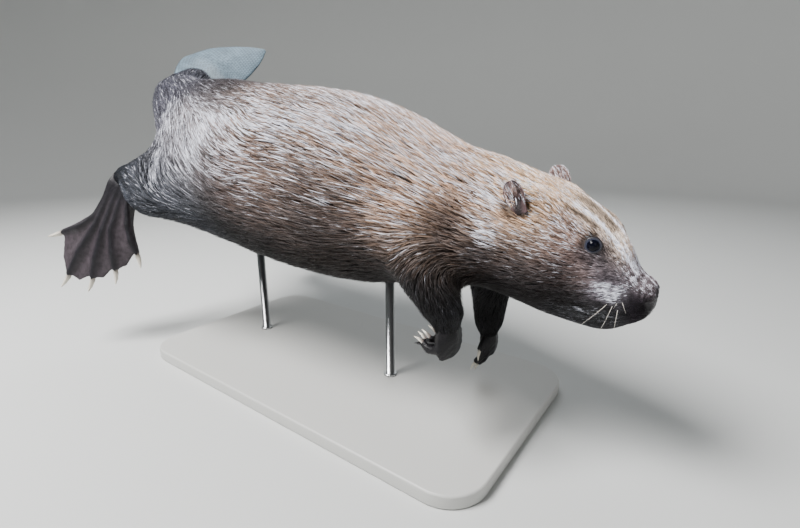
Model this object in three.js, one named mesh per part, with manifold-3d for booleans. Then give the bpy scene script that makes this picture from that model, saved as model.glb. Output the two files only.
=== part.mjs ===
// A life-size adult beaver, swimming with its head low, held by a plain display stand.
//
// Millimetres, +Z up, head towards +X, the animal's left side towards +Y. The origin is the middle of
// the stand's underside. The flesh is one smooth field, sampled piece by piece in cells that suit each
// piece, and parted by thin cuts. Feet, hands, ears, claws and the tail's blade are built of sections.
import * as THREE from "three";
import { mergeVertices } from "three/addons/utils/BufferGeometryUtils.js";
import Module from "manifold-3d";

const wasm = await Module();
wasm.setup();

// ---------------------------------------------------------------- driving dimensions

const LEFT = 1;
const RIGHT = -1;
const SIDES = { right: RIGHT, left: LEFT };

const GAP = 0.35; // between pieces that meet

// The head's frame lies midway between the ear openings, X along the muzzle, Z through the crown.
const HEAD_AT = { x: 270, y: -2, z: 270 };
const HEAD_TURN = { roll: 6, pitch: 21, yaw: -5 }; // degrees

// In the head's frame, for the left side.
const EYE = { at: [70.5, 26.5, -2.5], radius: 7.5 };
const EAR = { at: [2, 47, 6], forward: [0.69, 0.1, 0.72], upward: [-0.73, 0, 0.69] };

// Where the trunk is parted, from the neck backwards, and the plane between neck and head.
const TRUNK_CUTS = [150, 20, -130, -275, -388];
const NECK_CUT = { at: [240, -2, 235], normal: [1, 0, 0.06] };
const TAIL_CUT = { at: [-433, 76, 429], normal: [-0.35, 0.8, 0.48] };

// How finely the flesh is sampled in each piece.
const CELLS = {
  head: 12,
  neck: 21,
  chest: 31,
  loin: 34,
  haunches: 31,
  rump: 25,
  tail_root: 18,
  hind_leg: 15,
  foreleg: 12,
};

const BASE = { length: 560, width: 300, thickness: 16, corner: 45 };
const ROD_RADIUS = 6;
const RODS = {
  stand_rod_front: { x: 84, top: 176 },
  stand_rod_rear: { x: -180, top: 196 },
};

// ---------------------------------------------------------------- fields

// Smooth union of two fields: they melt into each other over the reach k.
function melt(a, b, k) {
  const h = Math.max(k - Math.abs(a - b), 0) / k;
  return Math.min(a, b) - (h * h * k) / 4;
}

// A station of a swept body: where its middle is, half its width, half its height.
const station = (x, y, z, wide, tall) => ({ at: new THREE.Vector3(x, y, z), wide, tall });

// The field of elliptical sections carried along a smooth line through the stations. `side` is the
// direction in which the width is measured. The ends are round.
function sweep(stations, side, steps = 4) {
  const line = new THREE.CatmullRomCurve3(stations.map((s) => s.at), false, "centripetal");
  const size = new THREE.CatmullRomCurve3(
    stations.map((s) => new THREE.Vector3(s.wide, s.tall, 0)),
    false,
    "catmullrom",
  );
  const count = (stations.length - 1) * steps;
  const rings = Array.from({ length: count + 1 }, (_, i) => {
    const t = i / count;
    const half = size.getPoint(t);
    return { at: line.getPoint(t), wide: half.x, tall: half.y };
  });
  return (x, y, z) => {
    let best = Infinity;
    let near = null;
    for (let i = 0; i < count; i++) {
      const a = rings[i].at;
      const b = rings[i + 1].at;
      const [ex, ey, ez] = [b.x - a.x, b.y - a.y, b.z - a.z];
      const [px, py, pz] = [x - a.x, y - a.y, z - a.z];
      const along = (px * ex + py * ey + pz * ez) / (ex * ex + ey * ey + ez * ez);
      const t = Math.min(1, Math.max(0, along));
      const [dx, dy, dz] = [px - t * ex, py - t * ey, pz - t * ez];
      const d = dx * dx + dy * dy + dz * dz;
      if (d < best) {
        best = d;
        near = { i, t, dx, dy, dz, ex, ey, ez };
      }
    }
    const a = rings[near.i];
    const b = rings[near.i + 1];
    const wide = a.wide + near.t * (b.wide - a.wide);
    const tall = a.tall + near.t * (b.tall - a.tall);
    const length = Math.hypot(near.ex, near.ey, near.ez);
    const u = near.dx * side.x + near.dy * side.y + near.dz * side.z;
    const w = (near.dx * near.ex + near.dy * near.ey + near.dz * near.ez) / length;
    const v = Math.sqrt(Math.max(best - u * u - w * w, 0));
    const end = Math.min(wide, tall);
    const k0 = Math.hypot(u / wide, v / tall, w / end);
    const k1 = Math.hypot(u / wide ** 2, v / tall ** 2, w / end ** 2);
    return k1 < 1e-9 ? -end : (k0 * (k0 - 1)) / k1;
  };
}

// The field of a limb's length: a ball rolled from one point to another while its radius changes.
function bone(from, to, fromRadius, toRadius) {
  const axis = new THREE.Vector3().subVectors(to, from);
  const length2 = axis.lengthSq();
  return (x, y, z) => {
    const [px, py, pz] = [x - from.x, y - from.y, z - from.z];
    const along = (px * axis.x + py * axis.y + pz * axis.z) / length2;
    const t = Math.min(1, Math.max(0, along));
    const distance = Math.hypot(px - t * axis.x, py - t * axis.y, pz - t * axis.z);
    return distance - (fromRadius + t * (toRadius - fromRadius));
  };
}

// The field of an ellipsoid about the origin.
function egg(rx, ry, rz) {
  return (x, y, z) => {
    const k0 = Math.hypot(x / rx, y / ry, z / rz);
    const k1 = Math.hypot(x / rx ** 2, y / ry ** 2, z / rz ** 2);
    return k1 < 1e-9 ? -Math.min(rx, ry, rz) : (k0 * (k0 - 1)) / k1;
  };
}

// The same field, carried to another frame.
function placed(matrix, field) {
  const e = matrix.clone().invert().elements;
  return (x, y, z) =>
    field(
      e[0] * x + e[4] * y + e[8] * z + e[12],
      e[1] * x + e[5] * y + e[9] * z + e[13],
      e[2] * x + e[6] * y + e[10] * z + e[14],
    );
}

// The field's values at the corners of a grid of cells that fills a box, never inside at the box's edge.
function sampled(field, box, cell) {
  const low = box.min;
  const cells = box.max.clone().sub(low).divideScalar(cell).ceil().addScalar(1);
  const size = [cells.x + 1, cells.y + 1, cells.z + 1];
  const index = (i, j, k) => i + size[0] * (j + size[1] * k);
  const value = new Float64Array(size[0] * size[1] * size[2]);
  const atEdge = (...ijk) => ijk.some((n, axis) => n === 0 || n === size[axis] - 1);
  for (let k = 0; k < size[2]; k++)
    for (let j = 0; j < size[1]; j++)
      for (let i = 0; i < size[0]; i++) {
        const d = field(low.x + i * cell, low.y + j * cell, low.z + k * cell);
        value[index(i, j, k)] = atEdge(i, j, k) ? Math.max(d, cell / 2) : d;
      }
  return { value, size, index };
}

const CORNERS = [0, 1, 2, 3, 4, 5, 6, 7].map((c) => [c & 1, (c >> 1) & 1, c >> 2]);
const EDGES = CORNERS.flatMap((_, i) =>
  [1, 2, 4].filter((bit) => !(i & bit)).map((bit) => [i, i | bit]),
);
const AXES = [[1, 0, 0], [0, 1, 0], [0, 0, 1]];

// The mean of the places where a cell's edges cross the surface, in cells from its first corner.
function crossing(values) {
  const sum = [0, 0, 0];
  let count = 0;
  for (const [a, b] of EDGES)
    if (values[a] < 0 !== values[b] < 0) {
      const t = values[a] / (values[a] - values[b]);
      for (const axis of [0, 1, 2])
        sum[axis] += CORNERS[a][axis] + t * (CORNERS[b][axis] - CORNERS[a][axis]);
      count++;
    }
  return sum.map((s) => s / count);
}

// A closed surface where the field is zero, with one vertex in each cell that the surface crosses.
function netted(field, box, cell) {
  const { value, size, index } = sampled(field, box, cell);
  const points = [];
  const vertexOf = new Map();
  const vertex = (...ijk) => {
    const key = index(...ijk);
    if (!vertexOf.has(key)) {
      const [i, j, k] = ijk;
      const inCell = crossing(CORNERS.map(([a, b, c]) => value[index(i + a, j + b, k + c)]));
      points.push(...inCell.map((s, axis) => box.min.getComponent(axis) + cell * (ijk[axis] + s)));
      vertexOf.set(key, points.length / 3 - 1);
    }
    return vertexOf.get(key);
  };
  const faces = [];
  for (let k = 0; k < size[2] - 1; k++)
    for (let j = 0; j < size[1] - 1; j++)
      for (let i = 0; i < size[0] - 1; i++)
        AXES.forEach(([a, b, c], axis) => {
          if (i + a < 1 || j + b < 1 || k + c < 1) return;
          const here = value[index(i, j, k)] < 0;
          if (here === value[index(i + a, j + b, k + c)] < 0) return;
          const [s, t] = [AXES[(axis + 1) % 3], AXES[(axis + 2) % 3]];
          const ring = [[0, 0], [1, 0], [1, 1], [0, 1]].map(([p, q]) =>
            vertex(i - p * s[0] - q * t[0], j - p * s[1] - q * t[1], k - p * s[2] - q * t[2]),
          );
          if (!here) ring.reverse();
          faces.push(ring[0], ring[1], ring[2], ring[0], ring[2], ring[3]);
        });
  return new THREE.BufferGeometry()
    .setAttribute("position", new THREE.Float32BufferAttribute(points, 3))
    .setIndex(faces);
}

// ---------------------------------------------------------------- solids

// A closed geometry as a solid that can be joined and cut.
function solid(geometry) {
  const bare = geometry.clone();
  bare.deleteAttribute("normal");
  bare.deleteAttribute("uv");
  const merged = mergeVertices(bare, 1e-4);
  const closed = (triVerts) =>
    new wasm.Manifold(
      new wasm.Mesh({
        numProp: 3,
        vertProperties: new Float32Array(merged.attributes.position.array),
        triVerts,
      }),
    );
  const made = closed(new Uint32Array(merged.index.array));
  return made.volume() > 0 ? made : closed(new Uint32Array(merged.index.array).reverse());
}

// The largest body of a solid, as a geometry, with vertices that fall on one another welded.
function geometryOf(made) {
  const mesh = made
    .decompose()
    .sort((a, b) => b.volume() - a.volume())[0]
    .getMesh();
  const points = new Float32Array(mesh.numVert * 3);
  for (let i = 0; i < mesh.numVert; i++)
    points.set(mesh.vertProperties.subarray(i * mesh.numProp, i * mesh.numProp + 3), i * 3);
  const geometry = mergeVertices(
    new THREE.BufferGeometry()
      .setAttribute("position", new THREE.BufferAttribute(points, 3))
      .setIndex(new THREE.BufferAttribute(mesh.triVerts, 1)),
    1e-3,
  );
  const faces = [];
  const index = geometry.index.array;
  for (let i = 0; i < index.length; i += 3) {
    const [a, b, c] = index.subarray(i, i + 3);
    if (a !== b && b !== c && c !== a) faces.push(a, b, c);
  }
  geometry.setIndex(faces);
  geometry.computeVertexNormals();
  return geometry;
}

// A closed skin over rings of points, each ring the same number of points round one station.
function loft(rings) {
  const n = rings[0].length;
  const middle = (ring) =>
    ring.reduce((sum, p) => sum.add(p), new THREE.Vector3()).divideScalar(ring.length);
  const points = [...rings.flat(), middle(rings[0]), middle(rings.at(-1))];
  const first = points.length - 2;
  const faces = [];
  for (let r = 0; r < rings.length - 1; r++)
    for (let i = 0; i < n; i++) {
      const [a, b] = [r * n + i, r * n + ((i + 1) % n)];
      faces.push(a, b, b + n, a, b + n, a + n);
    }
  const last = (rings.length - 1) * n;
  for (let i = 0; i < n; i++) {
    faces.push(first, (i + 1) % n, i);
    faces.push(first + 1, last + i, last + ((i + 1) % n));
  }
  return new THREE.BufferGeometry()
    .setAttribute("position", new THREE.Float32BufferAttribute(points.flatMap((p) => p.toArray()), 3))
    .setIndex(faces);
}

// A tube with one ring at each point, of a half-width and a half-height, its width lying along `across`.
function tube(points, wides, talls, across, corners) {
  const rings = points.map((at, i) => {
    const before = points[Math.max(i - 1, 0)];
    const after = points[Math.min(i + 1, points.length - 1)];
    const along = new THREE.Vector3().subVectors(after, before).normalize();
    const above = new THREE.Vector3().crossVectors(along, across).normalize();
    const aside = new THREE.Vector3().crossVectors(above, along);
    return Array.from({ length: corners }, (_, s) => {
      const angle = (2 * Math.PI * s) / corners;
      return at
        .clone()
        .addScaledVector(aside, wides[i] * Math.cos(angle))
        .addScaledVector(above, talls[i] * Math.sin(angle));
    });
  });
  return solid(loft(rings));
}

// A closed body between an upper and a lower grid of points, each of the same rows and columns.
function slabBetween(upper, lower) {
  const [rows, columns] = [upper.length, upper[0].length];
  const top = (r, c) => r * columns + c;
  const bottom = (r, c) => (rows + r) * columns + c;
  const faces = [];
  const quad = (a, b, c, d) => faces.push(a, b, c, a, c, d);
  for (let r = 0; r < rows - 1; r++)
    for (let c = 0; c < columns - 1; c++) {
      quad(top(r, c), top(r + 1, c), top(r + 1, c + 1), top(r, c + 1));
      quad(bottom(r, c), bottom(r, c + 1), bottom(r + 1, c + 1), bottom(r + 1, c));
    }
  for (let r = 0; r < rows - 1; r++) {
    quad(top(r, 0), bottom(r, 0), bottom(r + 1, 0), top(r + 1, 0));
    const last = columns - 1;
    quad(top(r, last), top(r + 1, last), bottom(r + 1, last), bottom(r, last));
  }
  for (let c = 0; c < columns - 1; c++) {
    quad(top(0, c), top(0, c + 1), bottom(0, c + 1), bottom(0, c));
    const end = rows - 1;
    quad(top(end, c), bottom(end, c), bottom(end, c + 1), top(end, c + 1));
  }
  const points = [...upper.flat(), ...lower.flat()].flatMap((p) => p.toArray());
  return solid(
    new THREE.BufferGeometry()
      .setAttribute("position", new THREE.Float32BufferAttribute(points, 3))
      .setIndex(faces),
  );
}

// ---------------------------------------------------------------- frames

const UP = new THREE.Vector3(0, 0, 1);
const ACROSS = new THREE.Vector3(0, 1, 0);

const point = (x, y, z) => new THREE.Vector3(x, y, z);
const moved = (x, y, z) => new THREE.Matrix4().makeTranslation(x, y, z);
const mirrored = ([x, y, z], side) => point(x, side * y, z);

// A frame at a point with X along `forward` and Z as near to `up` as can be.
function frame(at, forward, up) {
  const x = forward.clone().normalize();
  const y = new THREE.Vector3().crossVectors(up, x).normalize();
  const z = new THREE.Vector3().crossVectors(x, y);
  return new THREE.Matrix4().makeBasis(x, y, z).setPosition(at);
}

const headTurn = [HEAD_TURN.roll, HEAD_TURN.pitch, HEAD_TURN.yaw].map(THREE.MathUtils.degToRad);
const HEAD = moved(HEAD_AT.x, HEAD_AT.y, HEAD_AT.z).multiply(
  new THREE.Matrix4().makeRotationFromEuler(new THREE.Euler(...headTurn, "ZYX")),
);

// ---------------------------------------------------------------- the flesh

const barrel = sweep(
  [
    station(-364, 4, 374, 44, 50),
    station(-334, 2, 355, 60, 76),
    station(-270, 0, 320, 96, 108),
    station(-170, 0, 289, 130, 120),
    station(-80, 0, 277, 136, 123),
    station(10, 0, 267, 131, 121),
    station(90, 0, 256, 115, 109),
    station(150, 0, 249, 96, 88),
    station(190, 0, 245, 77, 73),
    station(216, -1, 239, 65, 64),
  ],
  ACROSS,
);

// The tail's furred root, which curls to the left as it rises.
const tailRoot = sweep(
  [
    station(-338, 4, 370, 52, 52),
    station(-367, 8, 386, 43, 43),
    station(-389, 24, 402, 37, 37),
    station(-409, 54, 418, 33, 33),
    station(-429, 88, 436, 29, 29),
  ],
  ACROSS,
);

const skull = sweep(
  [
    station(-45, 0, -37, 60, 57),
    station(0, 0, -37.5, 57, 62.5),
    station(35, 0, -40, 53, 64.5),
    station(60, 0, -42, 44, 60),
    station(90, 0, -41.5, 33, 48.5),
    station(108, 0, -42, 28, 36.5),
    station(117, 0, -41, 23, 25),
  ],
  ACROSS,
);
const chin = placed(moved(88, 0, -76), egg(39, 20, 14));

// What stands out on each side of the head: a place in its frame, radii, and how softly it melts in.
const HEAD_FORMS = {
  cheek: { at: [24, 33, -44], radii: [36, 25, 36], soft: 22 },
  ear_mound: { at: [12, 33, 9], radii: [22, 14, 14], soft: 10 },
  brow: { at: [60, 24, 1], radii: [19, 12, 11], soft: 12 },
  whisker_pad: { at: [106, 15, -46], radii: [21, 16, 19], soft: 10 },
  nose: { at: [128, 8, -28], radii: [9, 11, 10], soft: 7 },
};

const lump = (at, radii, soft) => ({ field: placed(moved(at.x, at.y, at.z), egg(...radii)), soft });
const headLumps = Object.values(SIDES).flatMap((side) =>
  Object.values(HEAD_FORMS).map(({ at, radii, soft }) => lump(mirrored(at, side), radii, soft)),
);
const withLumps = (lumps, base, x, y, z) =>
  lumps.reduce((sum, { field, soft }) => melt(sum, field(x, y, z), soft), base);

const head = placed(HEAD, (x, y, z) =>
  withLumps(headLumps, melt(skull(x, y, z), chin(x, y, z), 12), x, y, z),
);

// Each leg is a run of joints with their radii, and the masses of muscle round its upper end. The two
// hind legs trail alike; the right foreleg is folded back and the left one stands.
const hindLeg = (side) => ({
  joints: [[-212, 84, 262], [-262, 108, 252], [-351, 110, 272]].map((at) => mirrored(at, side)),
  radii: [46, 40, 20],
  masses: [
    lump(mirrored([-212, 72, 270], side), [90, 52, 66], 40),
    lump(mirrored([-280, 107, 254], side), [62, 30, 42], 22),
  ],
});
const foreleg = (joints, radii) => ({
  joints,
  radii,
  masses: [lump(joints[0], [42, 36, 46], 30)],
});
const LEGS = [
  hindLeg(RIGHT),
  hindLeg(LEFT),
  foreleg([point(180, -54, 230), point(180, -88, 204), point(223, -90, 166)], [30, 22.5, 20]),
  foreleg([point(194, 52, 222), point(196, 62, 150), point(197, 62, 96)], [26, 23.5, 20.5]),
];
const KNEE_MELT = 18;

const legFields = LEGS.map(({ joints, radii, masses }) => {
  const upper = bone(joints[0], joints[1], radii[0], radii[1]);
  const lower = bone(joints[1], joints[2], radii[1], radii[2]);
  return (x, y, z) =>
    withLumps(masses, melt(upper(x, y, z), lower(x, y, z), KNEE_MELT), x, y, z);
});

const TAIL_MELT = 36;
const BODY_MELT = 30;

function flesh(x, y, z) {
  const trunk = melt(barrel(x, y, z), tailRoot(x, y, z), TAIL_MELT);
  const body = melt(trunk, head(x, y, z), BODY_MELT);
  return legFields.reduce((sum, leg) => melt(sum, leg(x, y, z), BODY_MELT), body);
}

// ---------------------------------------------------------------- cutters

const FAR = 900; // larger than any piece

// Everything beyond a plane, in the direction of `normal`, less half the gap.
function beyond(at, normal) {
  const place = frame(at, normal, Math.abs(normal.z) > 0.9 ? point(1, 0, 0) : UP);
  const half = new THREE.BoxGeometry(FAR, FAR, FAR).translate((FAR + GAP) / 2, 0, 0);
  return solid(half.applyMatrix4(place));
}

const before = (at, normal) => beyond(at, normal.clone().negate());

// A block that starts at the frame's origin and runs along its X, with `extra` added all round.
function block(place, [length, width, height], extra = 0) {
  const shape = new THREE.BoxGeometry(length + 2 * extra, width + 2 * extra, height + 2 * extra);
  return solid(shape.translate(length / 2, 0, 0).applyMatrix4(place));
}

// A slice of the body between two places along it.
const slice = (from, to) => {
  const [front, back] = [point(from, 0, 0), point(to, 0, 0)];
  return before(front, point(1, 0, 0)).intersect(beyond(back, point(1, 0, 0)));
};

// The flesh inside a cutter, sampled over the part of the cutter that the body reaches.
const BODY_BOX = new THREE.Box3(point(-520, -200, 40), point(480, 200, 520));

function cutFlesh(cutter, cell) {
  const { min, max } = cutter.boundingBox();
  const box = new THREE.Box3(point(...min), point(...max)).expandByScalar(1.6 * cell);
  return solid(netted(flesh, box.intersect(BODY_BOX), cell)).intersect(cutter);
}

// ---------------------------------------------------------------- feet and hands

// A claw that leaves a digit's tip and curves down, with `extra` added all round.
function claw({ path, forward, across }, { length, width }, extra = 0) {
  const down = new THREE.Vector3().crossVectors(across, forward).negate();
  const root = path.at(-2);
  const curve = [-0.4, 0.1, 0.55, 0.93].map((t) =>
    root
      .clone()
      .addScaledVector(forward, t * length)
      .addScaledVector(down, 0.28 * length * Math.max(t, 0) ** 2),
  );
  const taper = [0.8, 1, 0.72, 0.15];
  const wides = taper.map((s) => 0.5 * width * s + extra);
  const talls = taper.map((s) => 0.38 * width * s + extra);
  return tube(curve, wides, talls, across, 4);
}

// Hind toes from the inner one outwards, each as places [forwards, inwards] from the ankle to the tip.
const HIND_TOES = [
  { line: [[-20, 13], [8, 17], [40, 23], [65, 33], [87, 47], [105, 61]], width: 12 },
  { line: [[-20, 7], [8, 9], [44, 11], [82, 14], [116, 29], [142, 41]], width: 14 },
  { line: [[-20, 0], [8, 0], [45, 1], [88, 3], [132, 9], [168, 14]], width: 15 },
  { line: [[-20, -7], [8, -9], [44, -9], [86, -10], [134, -17], [178, -21]], width: 15 },
  { line: [[-20, -13], [8, -15], [42, -14], [75, -17], [101, -35], [121, -58]], width: 14 },
];
const HIND_CLAW = { length: 22, width: 9 };

// At each of those places: how high the toes run, half the thickness of a toe and of the web between
// two toes, and how much of its width a toe takes up to each side.
const ARCH = [1, 2, 3, 5, 3, -3];
const TOE_HALF = [13, 17, 12, 8.5, 7, 4.5];
const WEB_HALF = [13, 16, 10.5, 4, 1.7, 1.6];
const TOE_SPREAD = [0.12, 0.16, 0.22, 0.42, 0.46, 0.36];
const TOE_END = TOE_HALF.length - 1;

// One line of places along a toe: on its crest (offset 0) or on either flank (offset 1 or -1).
const toeColumn = ({ path, forward, across, width }, offset) =>
  TOE_HALF.map((half, r) => ({
    at: path[r]
      .clone()
      .addScaledVector(across, offset * TOE_SPREAD[r] * width)
      .addScaledVector(forward, r === TOE_END && offset !== 0 ? -4 : 0),
    half: offset === 0 ? half : Math.max(WEB_HALF[r], 0.55 * half),
  }));

// One line of places along the web between two toes. Its free edge bulges past the line between tips.
const webColumn = (toe, next) => {
  const middle = (r) => toe.path[r].clone().lerp(next.path[r], 0.5);
  return WEB_HALF.map((half, r) => ({
    at: r === TOE_END ? middle(r - 1).lerp(middle(r), 1.15) : middle(r),
    half,
  }));
};

// A foot whose toes are crests in one sheet. Its frame has X along the middle toe and Z out of its back.
function hindFoot(side) {
  const toes = HIND_TOES.map(({ line, width }) => {
    const path = line.map(([x, inwards], r) => point(x, -side * inwards, ARCH[r]));
    const forward = path.at(-1).clone().sub(path.at(-2)).normalize();
    const across = new THREE.Vector3().crossVectors(UP, forward).normalize();
    path.push(path.at(-1).clone().addScaledVector(forward, 0.3 * width));
    return { path, forward, across, width };
  });
  const columns = toes.flatMap((toe, k) => {
    const ridge = [-1, 0, 1].map((offset) => toeColumn(toe, side * offset));
    const next = toes[k + 1];
    return next ? [...ridge, webColumn(toe, next)] : ridge;
  });
  const grid = (sign) =>
    TOE_HALF.map((_, r) =>
      columns.map((column) => column[r].at.clone().addScaledVector(UP, sign * column[r].half)),
    );
  return { flesh: slabBetween(grid(1), grid(-1)), digits: toes };
}

// Fingers from the thumb outwards: how far from the palm's middle line they leave it, how far along it
// they start, their lengths, how they spread and how much of the hand's bend they take.
const FINGERS = [
  { aside: 17, start: 14, length: 15, spread: 0.5, bend: 0.3, width: 8 },
  { aside: 12, start: 27, length: 25, spread: 0.22, bend: 1, width: 9.5 },
  { aside: 3, start: 30, length: 29, spread: 0.05, bend: 1, width: 10 },
  { aside: -7, start: 29, length: 27, spread: -0.12, bend: 1, width: 10 },
  { aside: -15, start: 25, length: 23, spread: -0.32, bend: 0.9, width: 9 },
];
const FINGER_CLAW = { length: 15, width: 5.6 };
const PALM = [
  { x: -18, wide: 12, tall: 10 },
  { x: -8, wide: 16, tall: 13 },
  { x: 10, wide: 18, tall: 11 },
  { x: 26, wide: 20, tall: 8 },
  { x: 36, wide: 15, tall: 5 },
];

// A hand whose fingers bend towards the palm by `curl` degrees in all, a third at each joint.
function hand(side, curl) {
  const fingers = FINGERS.map(({ aside, start, length, spread, bend, width }) => {
    const path = [point(start - 5, -side * aside * 0.9, 0)];
    let forward = point(Math.cos(spread), -side * Math.sin(spread), 0);
    const across = new THREE.Vector3().crossVectors(UP, forward);
    for (let joint = 0; joint < 3; joint++) {
      forward = forward.clone().applyAxisAngle(across, THREE.MathUtils.degToRad((bend * curl) / 3));
      path.push(path.at(-1).clone().addScaledVector(forward, length / 3));
    }
    path.push(path.at(-1).clone().addScaledVector(forward, 0.3 * width));
    return { path, forward, across, width };
  });
  const palm = tube(
    PALM.map(({ x }) => point(x, 0, 0)),
    PALM.map(({ wide }) => wide),
    PALM.map(({ tall }) => tall),
    ACROSS,
    8,
  );
  const shafts = fingers.map(({ path, width, across }) => {
    const wides = [1, 1.05, 1, 0.9, 0.5].map((k) => 0.5 * k * width);
    return tube(path, wides, [5.2, 5, 4.8, 4.4, 2.4], across, 5);
  });
  return { flesh: [palm, ...shafts].reduce((a, b) => a.add(b)), digits: fingers };
}

// ---------------------------------------------------------------- ears, tail and stand

// The leaf of an ear from its root up: height and half width.
const EAR_ROWS = [[-8, 7], [0, 8.5], [6, 10], [12, 10.5], [17.5, 9], [21.5, 6.5], [24, 3]];
const EAR_HOLLOW = 5;

// A left ear, upright in its own frame, X forward, cupped, thicker at the root, `extra` added all round.
function ear(extra = 0) {
  const last = EAR_ROWS.length - 1;
  const rings = EAR_ROWS.map(([z, halfWidth], r) => {
    const half = halfWidth + 1.5 * extra;
    const end = r === 0 ? -extra : r === last ? extra : 0;
    const arc = [-1, -0.6, 0, 0.6, 1].map((s) =>
      point(half * s, -EAR_HOLLOW * (1 - s * s), z + end),
    );
    const thick = [0.35, 1, 1, 1, 0.35].map((k) => k * (3 - 0.05 * z));
    const back = arc.map((p, i) => p.clone().add(point(0, thick[i] + 1.5 * extra, 0)));
    const cup = arc.map((p, i) => p.clone().add(point(0, -0.6 * thick[i] - 1.5 * extra, 0)));
    return [...cup, ...back.reverse()];
  });
  return solid(loft(rings));
}

function earOn(side, extra = 0) {
  const root = mirrored(EAR.at, side).applyMatrix4(HEAD);
  const forward = mirrored(EAR.forward, side).transformDirection(HEAD);
  const upward = mirrored(EAR.upward, side).transformDirection(HEAD);
  const shape = side === LEFT ? ear(extra) : ear(extra).mirror([0, 1, 0]);
  return shape.transform(frame(root, forward, upward).elements);
}

function eyeOn(side, extra = 0) {
  const at = mirrored(EYE.at, side).applyMatrix4(HEAD);
  const shape = new THREE.SphereGeometry(EYE.radius + extra, 10, 7);
  return solid(shape.translate(at.x, at.y, at.z));
}

// The scaly blade, which starts inside the furred root and curls up and to the left: its middle line,
// half widths and half thicknesses, and the direction of its width.
const BLADE = [
  { at: [-412, 46, 412], wide: 28, thick: 18 },
  { at: [-430, 70, 426], wide: 39, thick: 15 },
  { at: [-446, 98, 441], wide: 50, thick: 12.5 },
  { at: [-459, 130, 456], wide: 58, thick: 10.5 },
  { at: [-458, 158, 469], wide: 57, thick: 9.5 },
  { at: [-452, 186, 480], wide: 47, thick: 8 },
  { at: [-443, 209, 490], wide: 33, thick: 6.5 },
  { at: [-435, 225, 498], wide: 19, thick: 4.5 },
  { at: [-428, 238, 505], wide: 4, thick: 2 },
];
const BLADE_ACROSS = point(0.745, 0.04, -0.62);

const blade = () =>
  tube(
    BLADE.map(({ at }) => point(...at)),
    BLADE.map(({ wide }) => wide),
    BLADE.map(({ thick }) => thick),
    BLADE_ACROSS,
    10,
  );

// The stand's base, a plate with rounded corners that lies from z = 0 up.
function standBase() {
  const { length, width, thickness, corner } = BASE;
  const [x, y] = [length / 2 - corner, width / 2 - corner];
  const outline = new THREE.Shape();
  outline.absarc(x, y, corner, 0, Math.PI / 2);
  outline.absarc(-x, y, corner, Math.PI / 2, Math.PI);
  outline.absarc(-x, -y, corner, Math.PI, 1.5 * Math.PI);
  outline.absarc(x, -y, corner, 1.5 * Math.PI, 2 * Math.PI);
  const plate = { depth: thickness, bevelEnabled: false, curveSegments: 6 };
  return solid(new THREE.ExtrudeGeometry(outline, plate));
}

function standRod({ x, top }, extra = 0) {
  const bottom = BASE.thickness + GAP;
  const radius = ROD_RADIUS + extra;
  const height = top + extra - bottom;
  const shape = new THREE.CylinderGeometry(radius, radius, height, 16).rotateX(Math.PI / 2);
  return solid(shape.translate(x, 0, bottom + height / 2));
}

// ---------------------------------------------------------------- the model

const FINISHES = {
  golden_fur: { color: 0x9a7350, roughness: 0.8 },
  brown_fur: { color: 0x6f5644, roughness: 0.8 },
  dark_fur: { color: 0x3f3029, roughness: 0.8 },
  dark_skin: { color: 0x3a3132, roughness: 0.7 },
  tail_scales: { color: 0x66717a, roughness: 0.6 },
  claw: { color: 0x8d8072, roughness: 0.4 },
  eye: { color: 0x0c0a0a, roughness: 0.1 },
  stand: { color: 0xd8d6d0, roughness: 0.6 },
  rod: { color: 0xb9babb, roughness: 0.35, metalness: 0.9 },
};

const model = new THREE.Group();

function add(name, made, finish) {
  const material = new THREE.MeshStandardMaterial({ metalness: 0, ...FINISHES[finish] });
  const mesh = new THREE.Mesh(geometryOf(made), material);
  mesh.name = name;
  model.add(mesh);
}

// The lower length of each limb: the block that takes it in, as its near end, its direction and its
// size, and the foot or hand at its far end, as its joint, the way it points and the way its back faces.
const LIMBS = {
  hind_leg_right: {
    block: { at: [-284, -126, 250], to: [-0.97, 0, 0.24], size: [150, 100, 104] },
    end: { at: [-348, -111, 266], to: [-0.19, -0.45, -0.87], up: [0.61, -0.73, 0.25] },
    foot: "hind_foot_right",
    side: RIGHT,
  },
  hind_leg_left: {
    block: { at: [-284, 126, 250], to: [-0.97, 0, 0.24], size: [150, 100, 104] },
    end: { at: [-348, 111, 266], to: [-0.22, 0.38, -0.89], up: [0.66, 0.68, 0.25] },
    foot: "hind_foot_left",
    side: LEFT,
  },
  foreleg_right: {
    block: { at: [190, -106, 202], to: [0.74, -0.02, -0.67], size: [110, 80, 84] },
    end: { at: [223, -90, 160], to: [0.04, 0.02, -1], up: [1, -0.1, 0.04] },
    foot: "hand_right",
    side: RIGHT,
    curl: 135,
  },
  foreleg_left: {
    block: { at: [193, 66, 160], to: [0.05, 0, -1], size: [120, 90, 100] },
    end: { at: [197, 62, 92], to: [0.1, 0, -1], up: [1, 0, 0.1] },
    foot: "hand_left",
    side: LEFT,
    curl: 45,
  },
};
const NEARLY_UP = point(0.01, 0, 1);

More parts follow.
